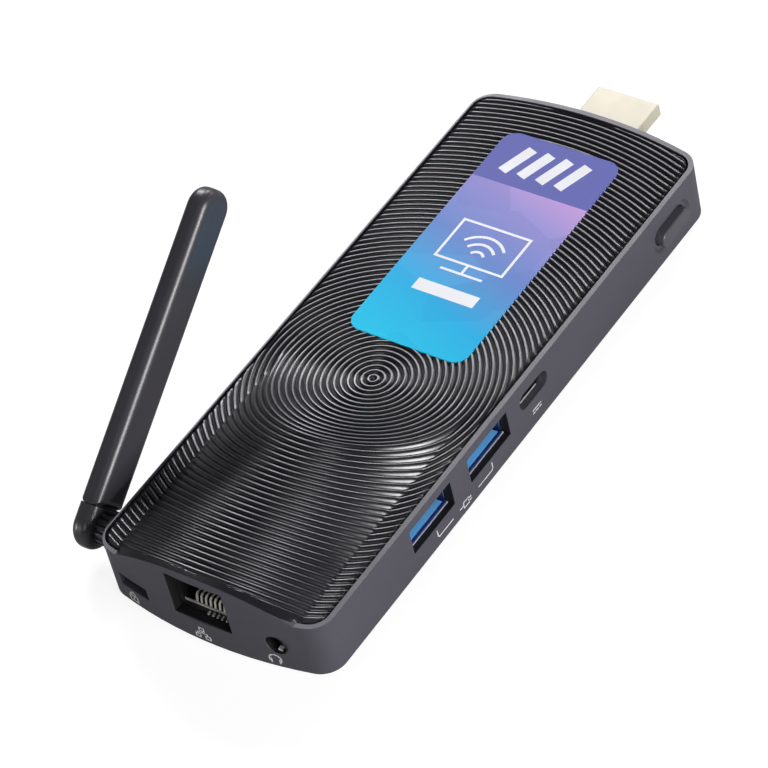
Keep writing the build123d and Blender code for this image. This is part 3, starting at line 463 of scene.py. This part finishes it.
def faces_past(web, planes, across):
    """The faces that reach outside an outline, or of those only the ones across it."""
    web.verts.index_update()
    margin = past(np.array([v.co[:2] for v in web.verts]), planes)
    reach = [(face, [margin[v.index] for v in face.verts]) for face in web.faces]
    return [face for face, sides in reach if max(sides) > 0 and (min(sides) < 0 or not across)]


def cut_along(web, faces, planes, slack, clear):
    """Cuts the faces along each side of an outline, and clears away what is outside it where asked."""
    for normal, distance in zip(*planes):
        direction = Vector((*normal, 0))
        cut, spared = [], []
        for face in faces:
            sides = [v.co.dot(direction) - distance for v in face.verts]
            crossed = max(sides) > slack and (clear or min(sides) < -slack)
            (cut if crossed else spared).append(face)
        if not cut:
            continue
        parts = [*cut, *(e for f in cut for e in f.edges), *(v for f in cut for v in f.verts)]
        result = bmesh.ops.bisect_plane(web, geom=list(dict.fromkeys(parts)), dist=TOUCH, plane_no=direction,
                                        plane_co=direction * float(distance), clear_outer=clear)
        made = [part for part in result["geom"] if isinstance(part, bmesh.types.BMFace)]
        faces = [face for face in dict.fromkeys([*spared, *made]) if face.is_valid]


def web_within(points, faces, planes):
    """A mesh of the faces that reach inside an outline, cut off at it."""
    used = sorted({v for f in faces for v in f})
    number = {v: i for i, v in enumerate(used)}
    mesh = bpy.data.meshes.new("web")
    mesh.from_pydata([(*points[v], 0) for v in used], [], [[number[v] for v in f] for f in faces])
    web = bmesh.new()
    web.from_mesh(mesh)
    cut_along(web, faces_past(web, planes, False), planes, TOUCH, True)
    return web


def cut_across(web, direction, distance):
    """Cuts a whole mesh along one upright plane."""
    bmesh.ops.bisect_plane(web, geom=web.verts[:] + web.edges[:] + web.faces[:], dist=TOUCH,
                           plane_co=direction * float(distance), plane_no=direction)


def cover_outline(inset):
    """The cover's plan: the case's outline drawn in, with its left side shifted outwards."""
    return [(x - COVER_SHIFT if x < 0 else x, y) for x, y in case_outline(inset)]


def near_strip(points, faces, cover_planes, low):
    """A mesh of the web over the near wall's edge, outside the cover's plan and within NEAR_REACH."""
    normals, distances = planes_of(case_outline(NEAR_WALL_INSET))
    planes = (np.vstack([normals, [[1, 0], [-1, 0]]]), np.append(distances, [NEAR_REACH] * 2))
    reaching = []
    for face in faces:
        place = points[list(face)]
        if place[:, 1].max() < 0 and past(place, planes).min() < 0 and past(place, cover_planes).max() > 0:
            reaching.append(face)
    strip = web_within(points, reaching, planes)
    for normal, distance in zip(cover_planes[0][low], cover_planes[1][low]):
        cut_across(strip, Vector((*normal, 0)), distance)
    inside = [f for f in strip.faces if past(f.calc_center_median()[:2], cover_planes)[0] < 0]
    bmesh.ops.delete(strip, geom=inside, context="FACES")
    mesh = bpy.data.meshes.new("strip")
    strip.to_mesh(mesh)
    strip.free()
    return mesh


def edge_distances(mesh, cover_planes, low):
    """How far inside the cover's edge each point lies. The near edge counts only beyond NEAR_REACH."""
    place = np.array([v.co[:2] for v in mesh.vertices])
    depth = cover_planes[1] - place @ cover_planes[0].T
    aside = np.maximum(NEAR_REACH - np.abs(place[:, 0]), 0)
    near_depth = np.hypot(np.maximum(depth[:, low].min(1), 0), aside)
    distance = np.minimum(depth[:, ~low].min(1), near_depth)
    return np.maximum(distance, 0).astype(np.float32)


def ripple_field():
    """The web cut to the cover and run on over the near wall, with each point's distance to the edge."""
    points, faces = ring_web()
    cover_planes = planes_of(cover_outline(COVER_INSET))
    low = cover_planes[0][:, 1] < NEAR_NORMAL_Y
    reaching = [face for face in faces if past(points[list(face)], cover_planes).min() < 0]
    web = web_within(points, reaching, cover_planes)
    web.from_mesh(near_strip(points, faces, cover_planes, low))
    for x in (-CROWN_HALF_WIDTH, -NEAR_REACH, NEAR_REACH, CROWN_HALF_WIDTH):
        cut_across(web, Vector((1, 0, 0)), x)
    inner_planes = planes_of(cover_outline(COVER_INSET + WALL_WIDTH))
    cut_along(web, faces_past(web, inner_planes, True), inner_planes, 10 * TOUCH, False)
    bmesh.ops.remove_doubles(web, verts=web.verts, dist=MERGE)
    bmesh.ops.dissolve_degenerate(web, edges=web.edges, dist=SLIVER)
    mesh = bpy.data.meshes.new("ripple_field")
    web.to_mesh(mesh)
    web.free()
    attribute = mesh.attributes.new("edge_distance", "FLOAT", "POINT")
    attribute.data.foreach_set("value", edge_distances(mesh, cover_planes, low))
    return mesh


class Tree:
    """A geometry-nodes tree with named inputs, and short ways to do sums in it."""

    def __init__(self, name, inputs):
        self.tree = bpy.data.node_groups.new(name, "GeometryNodeTree")
        self.tree.interface.new_socket("Geometry", in_out="INPUT", socket_type="NodeSocketGeometry")
        self.tree.interface.new_socket("Geometry", in_out="OUTPUT", socket_type="NodeSocketGeometry")
        self.identifiers = {}
        for label, value in inputs.items():
            socket = self.tree.interface.new_socket(label, in_out="INPUT", socket_type="NodeSocketFloat")
            socket.default_value = value
            self.identifiers[label] = socket.identifier
        self.source = self.add("NodeGroupInput")
        self.out = self.add("NodeGroupOutput")

    def add(self, kind, **values):
        node = self.tree.nodes.new(kind)
        for key, value in values.items():
            setattr(node, key, value)
        return node

    def join(self, start, end):
        self.tree.links.new(start, end)

    def value(self, label):
        return self.source.outputs[label]

    def sum(self, operation, *terms):
        node = self.add("ShaderNodeMath", operation=operation)
        for socket, term in zip(node.inputs, terms):
            if isinstance(term, (int, float)):
                socket.default_value = term
            else:
                self.join(term, socket)
        return node.outputs[0]

    def square(self, term):
        return self.sum("MULTIPLY", term, term)

    def finish(self, geometry, material):
        """Realize what the tree made, give it its material, and close the tree."""
        solid = self.add("GeometryNodeRealizeInstances")
        painted = self.add("GeometryNodeSetMaterial")
        painted.inputs["Material"].default_value = material
        self.join(geometry, solid.inputs[0])
        self.join(solid.outputs[0], painted.inputs["Geometry"])
        self.join(painted.outputs[0], self.out.inputs[0])


def apply_tree(thing, tree, inputs):
    """Run a tree on an object with the given input values, and return the settled mesh."""
    modifier = thing.modifiers.new("build", "NODES")
    modifier.node_group = tree.tree
    for label, value in inputs.items():
        modifier[tree.identifiers[label]] = float(value)
    return settled(thing)


def crown_height(t, x, y):
    """The height of the arched crown, which rises from the flat by a round ramp."""
    rise, half = t.value("Crown rise"), t.value("Crown half width")
    arch_radius = t.sum("DIVIDE", t.sum("ADD", t.square(half), t.square(rise)), t.sum("MULTIPLY", rise, 2.0))
    level = t.sum("SQRT", t.sum("SUBTRACT", t.square(arch_radius), t.square(x)))
    arch = t.sum("SUBTRACT", level, t.sum("SUBTRACT", arch_radius, rise))
    ramp_radius = t.value("Ramp radius")
    run = t.sum("MAXIMUM", t.sum("SUBTRACT", t.value("Ramp start"), y), 0.0)
    left = t.sum("MAXIMUM", t.sum("SUBTRACT", t.square(ramp_radius), t.square(run)), 0.0)
    ramp = t.sum("SUBTRACT", ramp_radius, t.sum("SQRT", left))
    return t.sum("MAXIMUM", t.sum("MINIMUM", arch, ramp), 0.0)


def ripple_height(t, x, y):
    """The ripples' height, with plain near corners and a steep wall down to the groove at the edge."""
    dx = t.sum("SUBTRACT", x, t.value("Centre X"))
    dy = t.sum("SUBTRACT", y, t.value("Centre Y"))
    radius = t.sum("SQRT", t.sum("ADD", t.square(dx), t.square(dy)))
    turn = t.sum("DIVIDE", t.sum("SUBTRACT", radius, t.value("First crest")), t.value("Pitch"))
    share = t.sum("ABSOLUTE", t.sum("SUBTRACT", turn, t.sum("ROUND", turn)))
    valley = t.sum("POWER", t.sum("MULTIPLY", share, 2.0), VALLEY_POWER)
    wave = t.sum("MULTIPLY", t.sum("SUBTRACT", CREST_SHARE, valley), t.value("Depth"))
    outer = t.sum("GREATER_THAN", radius, t.value("Last ripple"))
    in_corner = t.sum("MULTIPLY", outer, t.sum("LESS_THAN", y, 0.0))
    wave = t.sum("MULTIPLY", wave, t.sum("SUBTRACT", 1.0, in_corner))
    fall = t.sum("MULTIPLY", t.sum("SUBTRACT", radius, t.value("Last ripple")), CORNER_SLOPE)
    corner = t.sum("MULTIPLY", in_corner, t.sum("SUBTRACT", CORNER_RISE, fall))
    edge = t.add("GeometryNodeInputNamedAttribute", data_type="FLOAT")
    edge.inputs["Name"].default_value = "edge_distance"
    climb = t.sum("SUBTRACT", t.sum("DIVIDE", edge.outputs["Attribute"], t.value("Wall width")), 1.0)
    wall = t.sum("MULTIPLY", climb, t.value("Wall drop"))
    return t.sum("MINIMUM", t.sum("ADD", wave, corner), wall)


def ripple_tree(inputs):
    """A tree that lifts the flat web onto the crown, with the ripples on it."""
    t = Tree("ripples", inputs)
    position = t.add("GeometryNodeInputPosition")
    split = t.add("ShaderNodeSeparateXYZ")
    t.join(position.outputs[0], split.inputs[0])
    x, y = split.outputs["X"], split.outputs["Y"]
    height = t.sum("ADD", t.sum("ADD", crown_height(t, x, y), ripple_height(t, x, y)), t.value("Cover top"))
    joined = t.add("ShaderNodeCombineXYZ")
    for source, axis in ((x, "X"), (y, "Y"), (height, "Z")):
        t.join(source, joined.inputs[axis])
    scale = t.add("ShaderNodeVectorMath", operation="SCALE")
    t.join(joined.outputs[0], scale.inputs[0])
    scale.inputs["Scale"].default_value = MM
    move = t.add("GeometryNodeSetPosition")
    t.join(t.source.outputs["Geometry"], move.inputs["Geometry"])
    t.join(scale.outputs["Vector"], move.inputs["Position"])
    t.finish(move.outputs[0], materials["cover_plastic"])
    return t


def build_rippled_cover():
    """The rippled cover, as a shell under the lifted web, in place of the smooth one."""
    inputs = {"Centre X": RIPPLE_CENTRE[0], "Centre Y": RIPPLE_CENTRE[1], "Pitch": RIPPLE_PITCH,
              "First crest": RIPPLE_FIRST, "Depth": RIPPLE_DEPTH, "Last ripple": RIPPLE_LAST,
              "Crown rise": CROWN_RISE, "Crown half width": CROWN_HALF_WIDTH, "Ramp radius": RAMP_RADIUS,
              "Ramp start": RAMP_START_Y, "Cover top": COVER_TOP, "Wall width": WALL_WIDTH,
              "Wall drop": WALL_DROP}
    field = bpy.data.objects.new("field", ripple_field())
    scene.collection.objects.link(field)
    skin = bpy.data.objects.new("skin", apply_tree(field, ripple_tree(inputs), inputs))
    scene.collection.objects.link(skin)
    shell = skin.modifiers.new("shell", "SOLIDIFY")
    shell.thickness = COVER_THICKNESS * MM
    shell.offset = -1
    mesh = settled(skin)
    for polygon in mesh.polygons:
        polygon.use_smooth = True
    mesh.set_sharp_from_angle(angle=math.radians(75))
    cover = piece("rippled_cover", mesh, "cover_plastic")
    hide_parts("top_cover")


build_rippled_cover()


# Label
def label_material():
    """A printed film: a violet band, then a blend from lilac to cyan with pale facets over it."""
    r = Recipe("label_film").set(Roughness=0.4, Specular_IOR_Level=0.06)
    axes = r.nodes.new("ShaderNodeSeparateXYZ")
    r.links.new(r.place, axes.inputs[0])
    x = r.maths("MULTIPLY", r.maths("SUBTRACT", axes.outputs["X"], LABEL_CENTRE[0] * MM), 1 / MM)
    y = r.maths("MULTIPLY", r.maths("SUBTRACT", axes.outputs["Y"], LABEL_CENTRE[1] * MM), 1 / MM)
    slant = r.maths("MULTIPLY", x, 0.35)
    along = r.range(r.maths("ADD", y, slant), -30, 20, 0, 1)
    ramp = r.nodes.new("ShaderNodeValToRGB")
    stops = [(0.0, (0.0, 0.53, 0.82)), (0.25, (0.004, 0.42, 0.78)), (0.55, (0.14, 0.25, 0.61)),
             (0.82, (0.30, 0.27, 0.64)), (1.0, (0.50, 0.30, 0.66))]
    while len(ramp.color_ramp.elements) < len(stops):
        ramp.color_ramp.elements.new(0.5)
    for element, (at, colour) in zip(ramp.color_ramp.elements, stops):
        element.position = at
        element.color = (*colour, 1)
    r.links.new(along, ramp.inputs["Fac"])
    facets = r.nodes.new("ShaderNodeTexVoronoi")
    facets.feature = "F1"
    facets.inputs["Scale"].default_value = 85
    facets.inputs["Randomness"].default_value = 0.8
    r.links.new(r.place, facets.inputs["Vector"])
    tone = r.nodes.new("ShaderNodeSeparateColor")
    r.links.new(facets.outputs["Color"], tone.inputs[0])
    body = r.blend(tone.outputs[0], ramp.outputs["Color"], (1.2, 1.18, 1.1), "MULTIPLY")
    band = r.maths("GREATER_THAN", y, BAND_START_Y)
    r.into(r.blend(band, body, (0.125, 0.14, 0.45)), "Base Color")
    return r.material


def rounded_outline(centre, size, corner):
    """Loop of points round a rectangle with round corners."""
    steps = 8
    points = []
    for k, (sx, sy) in enumerate(((1, 1), (-1, 1), (-1, -1), (1, -1))):
        cx, cy = centre[0] + sx * (size[0] / 2 - corner), centre[1] + sy * (size[1] / 2 - corner)
        for i in range(steps + 1):
            angle = math.pi / 2 * (k + i / steps)
            points.append((cx + corner * math.cos(angle), cy + corner * math.sin(angle)))
    return points


def plate_mesh(name, outline, low_z, high_z):
    """A flat plate over an outline."""
    sheet = bmesh.new()
    corners = [sheet.verts.new((x, y, low_z)) for x, y in outline]
    base = sheet.faces.new(corners)
    raised = bmesh.ops.extrude_face_region(sheet, geom=[base])
    top = [v for v in raised["geom"] if isinstance(v, bmesh.types.BMVert)]
    bmesh.ops.translate(sheet, verts=top, vec=(0, 0, high_z - low_z))
    mesh = mesh_of(name, sheet)
    for polygon in mesh.polygons:
        polygon.use_smooth = True
    mesh.set_sharp_from_angle(angle=math.radians(40))
    return mesh


def build_label():
    """The label, in place of the plain one."""
    outline = rounded_outline(LABEL_CENTRE, LABEL_SIZE, LABEL_CORNER)
    mesh = plate_mesh("label_plate", outline, COVER_TOP - LABEL_SINK, COVER_TOP + LABEL_TOP)
    film = piece("label_plate", mesh, "label_film", label_material())
    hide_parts("label")


build_label()


# Signs beside the ports
def rails_of(points, closed, width):
    """The two sides of a stroke along points, mitred at corners and half a width longer at open ends."""
    count = len(points)
    rails = []
    for i, point in enumerate(points):
        before = points[i - 1] if closed or i else point
        after = points[(i + 1) % count] if closed or i < count - 1 else point
        into, away = (point - before), (after - point)
        into = into.normalized() if into.length else away.normalized()
        away = away.normalized() if away.length else into
        across = Vector((-into.y, into.x))
        side = Vector((-(into + away).y, (into + away).x)).normalized()
        reach = width / 2 / max(MITRE_LIMIT, abs(side.dot(across)))
        if not closed and i == 0:
            point = point - away * width / 2
        if not closed and i == count - 1:
            point = point + into * width / 2
        rails.append((point + side * reach, point - side * reach))
    return rails


def strokes_mesh(name, strokes, width, place):
    """Thin raised strokes along lines of points, laid on a surface by a placing function."""
    lines = bmesh.new()
    for line in strokes:
        closed = line[0] == line[-1]
        points = [Vector(p) for p in (line[:-1] if closed else line)]
        corners = [[lines.verts.new(place(spot.x, spot.y, lift)) for spot in rail for lift in (0, 1)]
                   for rail in rails_of(points, closed, width)]
        following = corners[1:] + corners[:1] if closed else corners[1:]
        for a, b in zip(corners, following):
            for p, q in ((1, 3), (3, 2), (2, 0), (0, 1)):
                lines.faces.new((a[p], a[q], b[q], b[p]))
        if not closed:
            for end in (corners[0], corners[-1]):
                lines.faces.new((end[0], end[1], end[3], end[2]))
    return mesh_of(name, lines)


def arc(cx, cy, radius, start, end, steps=10):
    """Points along an arc, between two angles in degrees."""
    angles = [math.radians(start + (end - start) * i / steps) for i in range(steps + 1)]
    return [(cx + radius * math.cos(angle), cy + radius * math.sin(angle)) for angle in angles]


def frame_of(cx, cy, width, height):
    """A closed line round a rectangle."""
    w, h = width / 2, height / 2
    return [(cx - w, cy - h), (cx + w, cy - h), (cx + w, cy + h), (cx - w, cy + h), (cx - w, cy - h)]


def on_near_end(cx, cz):
    """Places a sign's points on the bowed near end, seen from outside."""
    return lambda u, v, lift: (
        cx + u, -HALF_LENGTH + drop_at(cx + u) - (SIGN_LIFT if lift else -SIGN_SINK), cz + v)


def on_right_side(cy, cz):
    """Places a sign's points on the right side, seen from outside."""
    return lambda u, v, lift: (HALF_WIDTH + (SIGN_LIFT if lift else -SIGN_SINK), cy + u, cz + v)


def on_label(u0, v0):
    """Places artwork on the label, seen from the near end."""
    top = COVER_TOP + LABEL_TOP
    return lambda u, v, lift: (
        LABEL_CENTRE[0] + u0 + u, LABEL_CENTRE[1] + v0 + v, top + (ART_LIFT if lift else -ART_SINK))


ink = moulded_plastic("sign_ink", (0.62, 0.62, 0.64), 0.5)
white_print = moulded_plastic("white_print", (0.82, 0.83, 0.86), 0.5)
padlock = [frame_of(0, -0.5, 2.0, 1.3),
           [(-0.55, 0.15), (-0.55, 0.55)] + arc(0, 0.55, 0.55, 180, 0)[1:] + [(0.55, 0.15)],
           [(0, -0.3), (0, -0.7)]]
network = [frame_of(0, 0.95, 1.0, 0.8), frame_of(-1.1, -0.95, 1.0, 0.8), frame_of(1.1, -0.95, 1.0, 0.8),
           [(0, 0.5), (0, 0)], [(-1.1, -0.5), (-1.1, 0), (1.1, 0), (1.1, -0.5)]]
headset = [arc(0, -0.2, 1.2, 200, -20, 16), [(-0.85, -0.3), (-0.85, -1.15)], [(0.85, -0.3), (0.85, -1.15)]]
lead = [(-3.0, 0.9), (-3.0, -0.4), (-2.6, -0.8), (1.8, -0.8)]
brackets = [[(u - 6.1, v) for u, v in lead], [(6.1 - u, v) for u, v in lead]]
plug_sign = [[(-1.9, 0), (-0.7, 0)], frame_of(0.1, 0, 1.6, 1.3), [(0.9, 0.35), (1.7, 0.35)],
             [(0.9, -0.35), (1.7, -0.35)]]
direct_current = [[(-1.3, 0.35), (1.3, 0.35)], [(-1.3, -0.35), (-0.75, -0.35)],
                  [(-0.27, -0.35), (0.27, -0.35)], [(0.75, -0.35), (1.3, -0.35)]]
for sign_name, sign, weight, spot in (
        ("sign_padlock", padlock, 0.26, on_near_end(-18.0, 2.5)),
        ("sign_network", network, 0.24, on_near_end(-1.2, 2.7)),
        ("sign_headset", headset, 0.28, on_near_end(14.1, 2.5)),
        ("sign_brackets", brackets, 0.22, on_right_side(-21.2, 3.2)),
        ("sign_plug", plug_sign, 0.24, on_right_side(-21.2, 2.4)),
        ("sign_direct_current", direct_current, 0.24, on_right_side(3.3, 3.6))):
    piece(sign_name, strokes_mesh(sign_name, sign, weight, spot), "case_plastic", ink)

# Artwork on the label
bars = [[(4.2 * k - 8.2, -2.6), (4.2 * k - 6.4, 2.6)] for k in range(4)]
screen = [frame_of(0, 0, 15.0, 10.4), [(0, -5.76), (0, -7.14)], [(-4.4, -7.7), (4.4, -7.7)]]
signal = [arc(0, -3.0, r, 140, 40, 12) for r in (1.6, 3.6, 5.6)]
key = [[(-5.4, 0), (5.4, 0)]]
for art_name, art, weight, spot in (("label_bars", bars, 2.3, on_label(0.4, 22.0)),
                                    ("label_screen", screen, 0.55, on_label(0, -1.0)),
                                    ("label_signal", signal, 0.6, on_label(0, -1.0)),
                                    ("label_key", key, 2.9, on_label(0, -14.0))):
    piece(art_name, strokes_mesh(art_name, art, weight, spot), "label_film", white_print)


# Details in the ports
def blocks_mesh(name, boxes):
    """A mesh of blocks, each given by its low and high corner."""
    stack = bmesh.new()
    for low_corner, high_corner in boxes:
        made = bmesh.ops.create_cube(stack, size=1.0)["verts"]
        for vertex in made:
            vertex.co = [(a + b) / 2 + c * (b - a) for a, b, c in zip(low_corner, high_corner, vertex.co)]
    return mesh_of(name, stack)


def sleeve_mesh(name, centre, radii, ends):
    """A short tube along y, with an inner and an outer radius, between its two ends."""
    sides = 32
    sleeve = bmesh.new()
    profile = [(radii[0], ends[0]), (radii[1], ends[0]), (radii[1], ends[1]), (radii[0], ends[1])]
    turns = [2 * math.pi * k / sides for k in range(sides)]
    loops = [[sleeve.verts.new((centre[0] + radius * math.cos(turn), y, centre[1] + radius * math.sin(turn)))
              for turn in turns] for radius, y in profile]
    for near, far in zip(loops, loops[1:] + loops[:1]):
        for k in range(sides):
            j = (k + 1) % sides
            sleeve.faces.new((near[k], near[j], far[j], far[k]))
    return mesh_of(name, sleeve)


def spring_wire():
    """One contact spring, a bent wire of square section."""
    path = [(-64.05, 6.3), (-63.7, 7.9), (-63.2, 8.2), (-56.0, 7.5)]
    section = ((-0.2, -0.1, 0.1), (0.2, -0.1, 0.1), (0.2, 0.1, -0.1), (-0.2, 0.1, -0.1))
    wire = bmesh.new()
    rows = [[wire.verts.new((x, y + dy, z + dz)) for x, dy, dz in section] for y, z in path]
    for a, b in zip(rows, rows[1:]):
        for k in range(4):
            wire.faces.new((a[k], a[(k + 1) % 4], b[(k + 1) % 4], b[k]))
    wire.faces.new(rows[0])
    wire.faces.new(rows[-1][::-1])
    return mesh_of("spring", wire)


def spring_row():
    """The contact springs in a row: one is drawn, and the tree repeats it."""
    single = bpy.data.objects.new("spring", spring_wire())
    scene.collection.objects.link(single)
    inputs = {"Count": SPRING_COUNT, "Pitch": SPRING_PITCH,
              "First x": SPRINGS_MIDDLE_X - SPRING_PITCH * (SPRING_COUNT - 1) / 2}
    t = Tree("spring_row", inputs)
    line = t.add("GeometryNodeMeshLine")
    t.join(t.value("Count"), line.inputs["Count"])
    for label, socket in (("First x", "Start Location"), ("Pitch", "Offset")):
        spot = t.add("ShaderNodeCombineXYZ")
        t.join(t.sum("MULTIPLY", t.value(label), MM), spot.inputs["X"])
        t.join(spot.outputs[0], line.inputs[socket])
    spread = t.add("GeometryNodeInstanceOnPoints")
    t.join(line.outputs[0], spread.inputs["Points"])
    t.join(t.source.outputs["Geometry"], spread.inputs["Instance"])
    t.finish(spread.outputs[0], materials["contact_gold"])
    return apply_tree(single, t, inputs)


# Gold plating lightened almost to white: the gold is real, the paleness is a painted highlight on springs
# that sit in shade.
spring_gold_and_highlight = drawn_metal("spring_gold_and_highlight", (1.0, 0.97, 0.84), 0.3, (1, 0.1, 1), 900, 0.000001, 0.2)
bright_edge = drawn_metal("bright_edge", (0.80, 0.80, 0.80), 0.4, (1, 0.1, 1), 900, 0.000001, 0.4)
# Near-black material for blocks inside port openings: painted shade.
port_painted_shade = moulded_plastic("port_painted_shade", (0.008, 0.0075, 0.008), 0.6, specular=0.25)
# Dark blue material: painted shade with a painted blue reflection of the tongue.
painted_blue_shade = moulded_plastic("port_painted_blue_shade", (0.008, 0.016, 0.12), 0.4)


def blocks(name, boxes, slot, material):
    """A finished piece made of blocks."""
    piece(name, blocks_mesh(name, boxes), slot, material)


def network_port_details():
    """The bent springs, coloured pale as a painted highlight, a bright sill with five tabs, and dark blocks
    of painted shade on the opening's wall and floor.
    """
    springs = piece("lan_springs", spring_row(), "contact_gold", spring_gold_and_highlight)
    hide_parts("lan_contacts")
    sill = [((-6.35, -64.4, 6.1), (5.95, -64.2, 6.62))]
    for k in range(5):
        sill.append(((-0.35 + SPRING_PITCH * k, -65.7, 6.2), (-0.1 + SPRING_PITCH * k, -64.95, 6.6)))
    # Thin near-black blocks on the opening's left wall and floor: painted shade.
    painted_shade_blocks = [((-6.55, -67.2, 5.9), (-6.49, -65.3, 16.2)), ((-6.5, -67.2, 5.9), (6.1, -65.3, 5.96))]
    blocks("lan_sill", sill, "port_steel", bright_edge)
    blocks("lan_painted_shade", painted_shade_blocks, "port_black", port_painted_shade)


def sound_socket_details():
    """The socket's contact spring, coloured white as a painted glint, and a dark tube of painted shade
    inside the case's hole.
    """
    # The jack's contact spring, coloured white as a painted glint.
    blocks("jack_spring_glint", [((14.8, -65.75, 4.4), (15.75, -64.9, 4.85))], "port_steel", white_print)
    # A near-black tube inside the hole: painted shade.
    tube = sleeve_mesh("jack_painted_shade", centre=SOUND_HOLE, radii=(2.12, 2.18), ends=(-66.3, -63.45))
    piece("jack_painted_shade", tube, "port_black", port_painted_shade)


def large_port_details(number, y):
    """In one of the two large side ports: dark blue blocks at the end wall and below the opening, painted
    shade with a painted blue reflection of the tongue; a bright lip; and dark blocks of painted shade on the
    floor and side.
    """
    # Dark blue blocks at the end wall and below the opening: painted shade with a painted blue reflection of
    # the tongue.
    blue_shade_blocks = [((14.0, y + 6.05, 5.6), (22.9, y + 6.14, 10.3)),
                ((22.9, y - 6.1, 5.35), (23.5, y + 6.1, 5.72))]
    lip = [((23.3, y - 6.3, 5.16), (23.65, y + 6.3, 5.34))]
    # Near-black blocks on the floor and side just inside the opening: painted shade.
    painted_shade_blocks = [((23.1, y - 6.55, 5.05), (24.95, y + 6.55, 5.14)),
              ((23.1, y + 6.5, 5.05), (24.95, y + 6.59, 10.75))]
    blocks("usb_blue_shade_" + number, blue_shade_blocks, "tongue_blue", painted_blue_shade)
    blocks("usb_lip_" + number, lip, "port_steel", bright_edge)
    blocks("usb_painted_shade_" + number, painted_shade_blocks, "port_black", port_painted_shade)


def small_port_details():
    """A bright lip in the small side port."""
    blocks("usb_c_lip", [((23.45, 0.6, 6.62), (23.56, 6.0, 6.84))], "port_steel", bright_edge)


network_port_details()
sound_socket_details()
for index, port_y in enumerate(USB_CENTRES_Y, 1):
    large_port_details(str(index), port_y)
small_port_details()
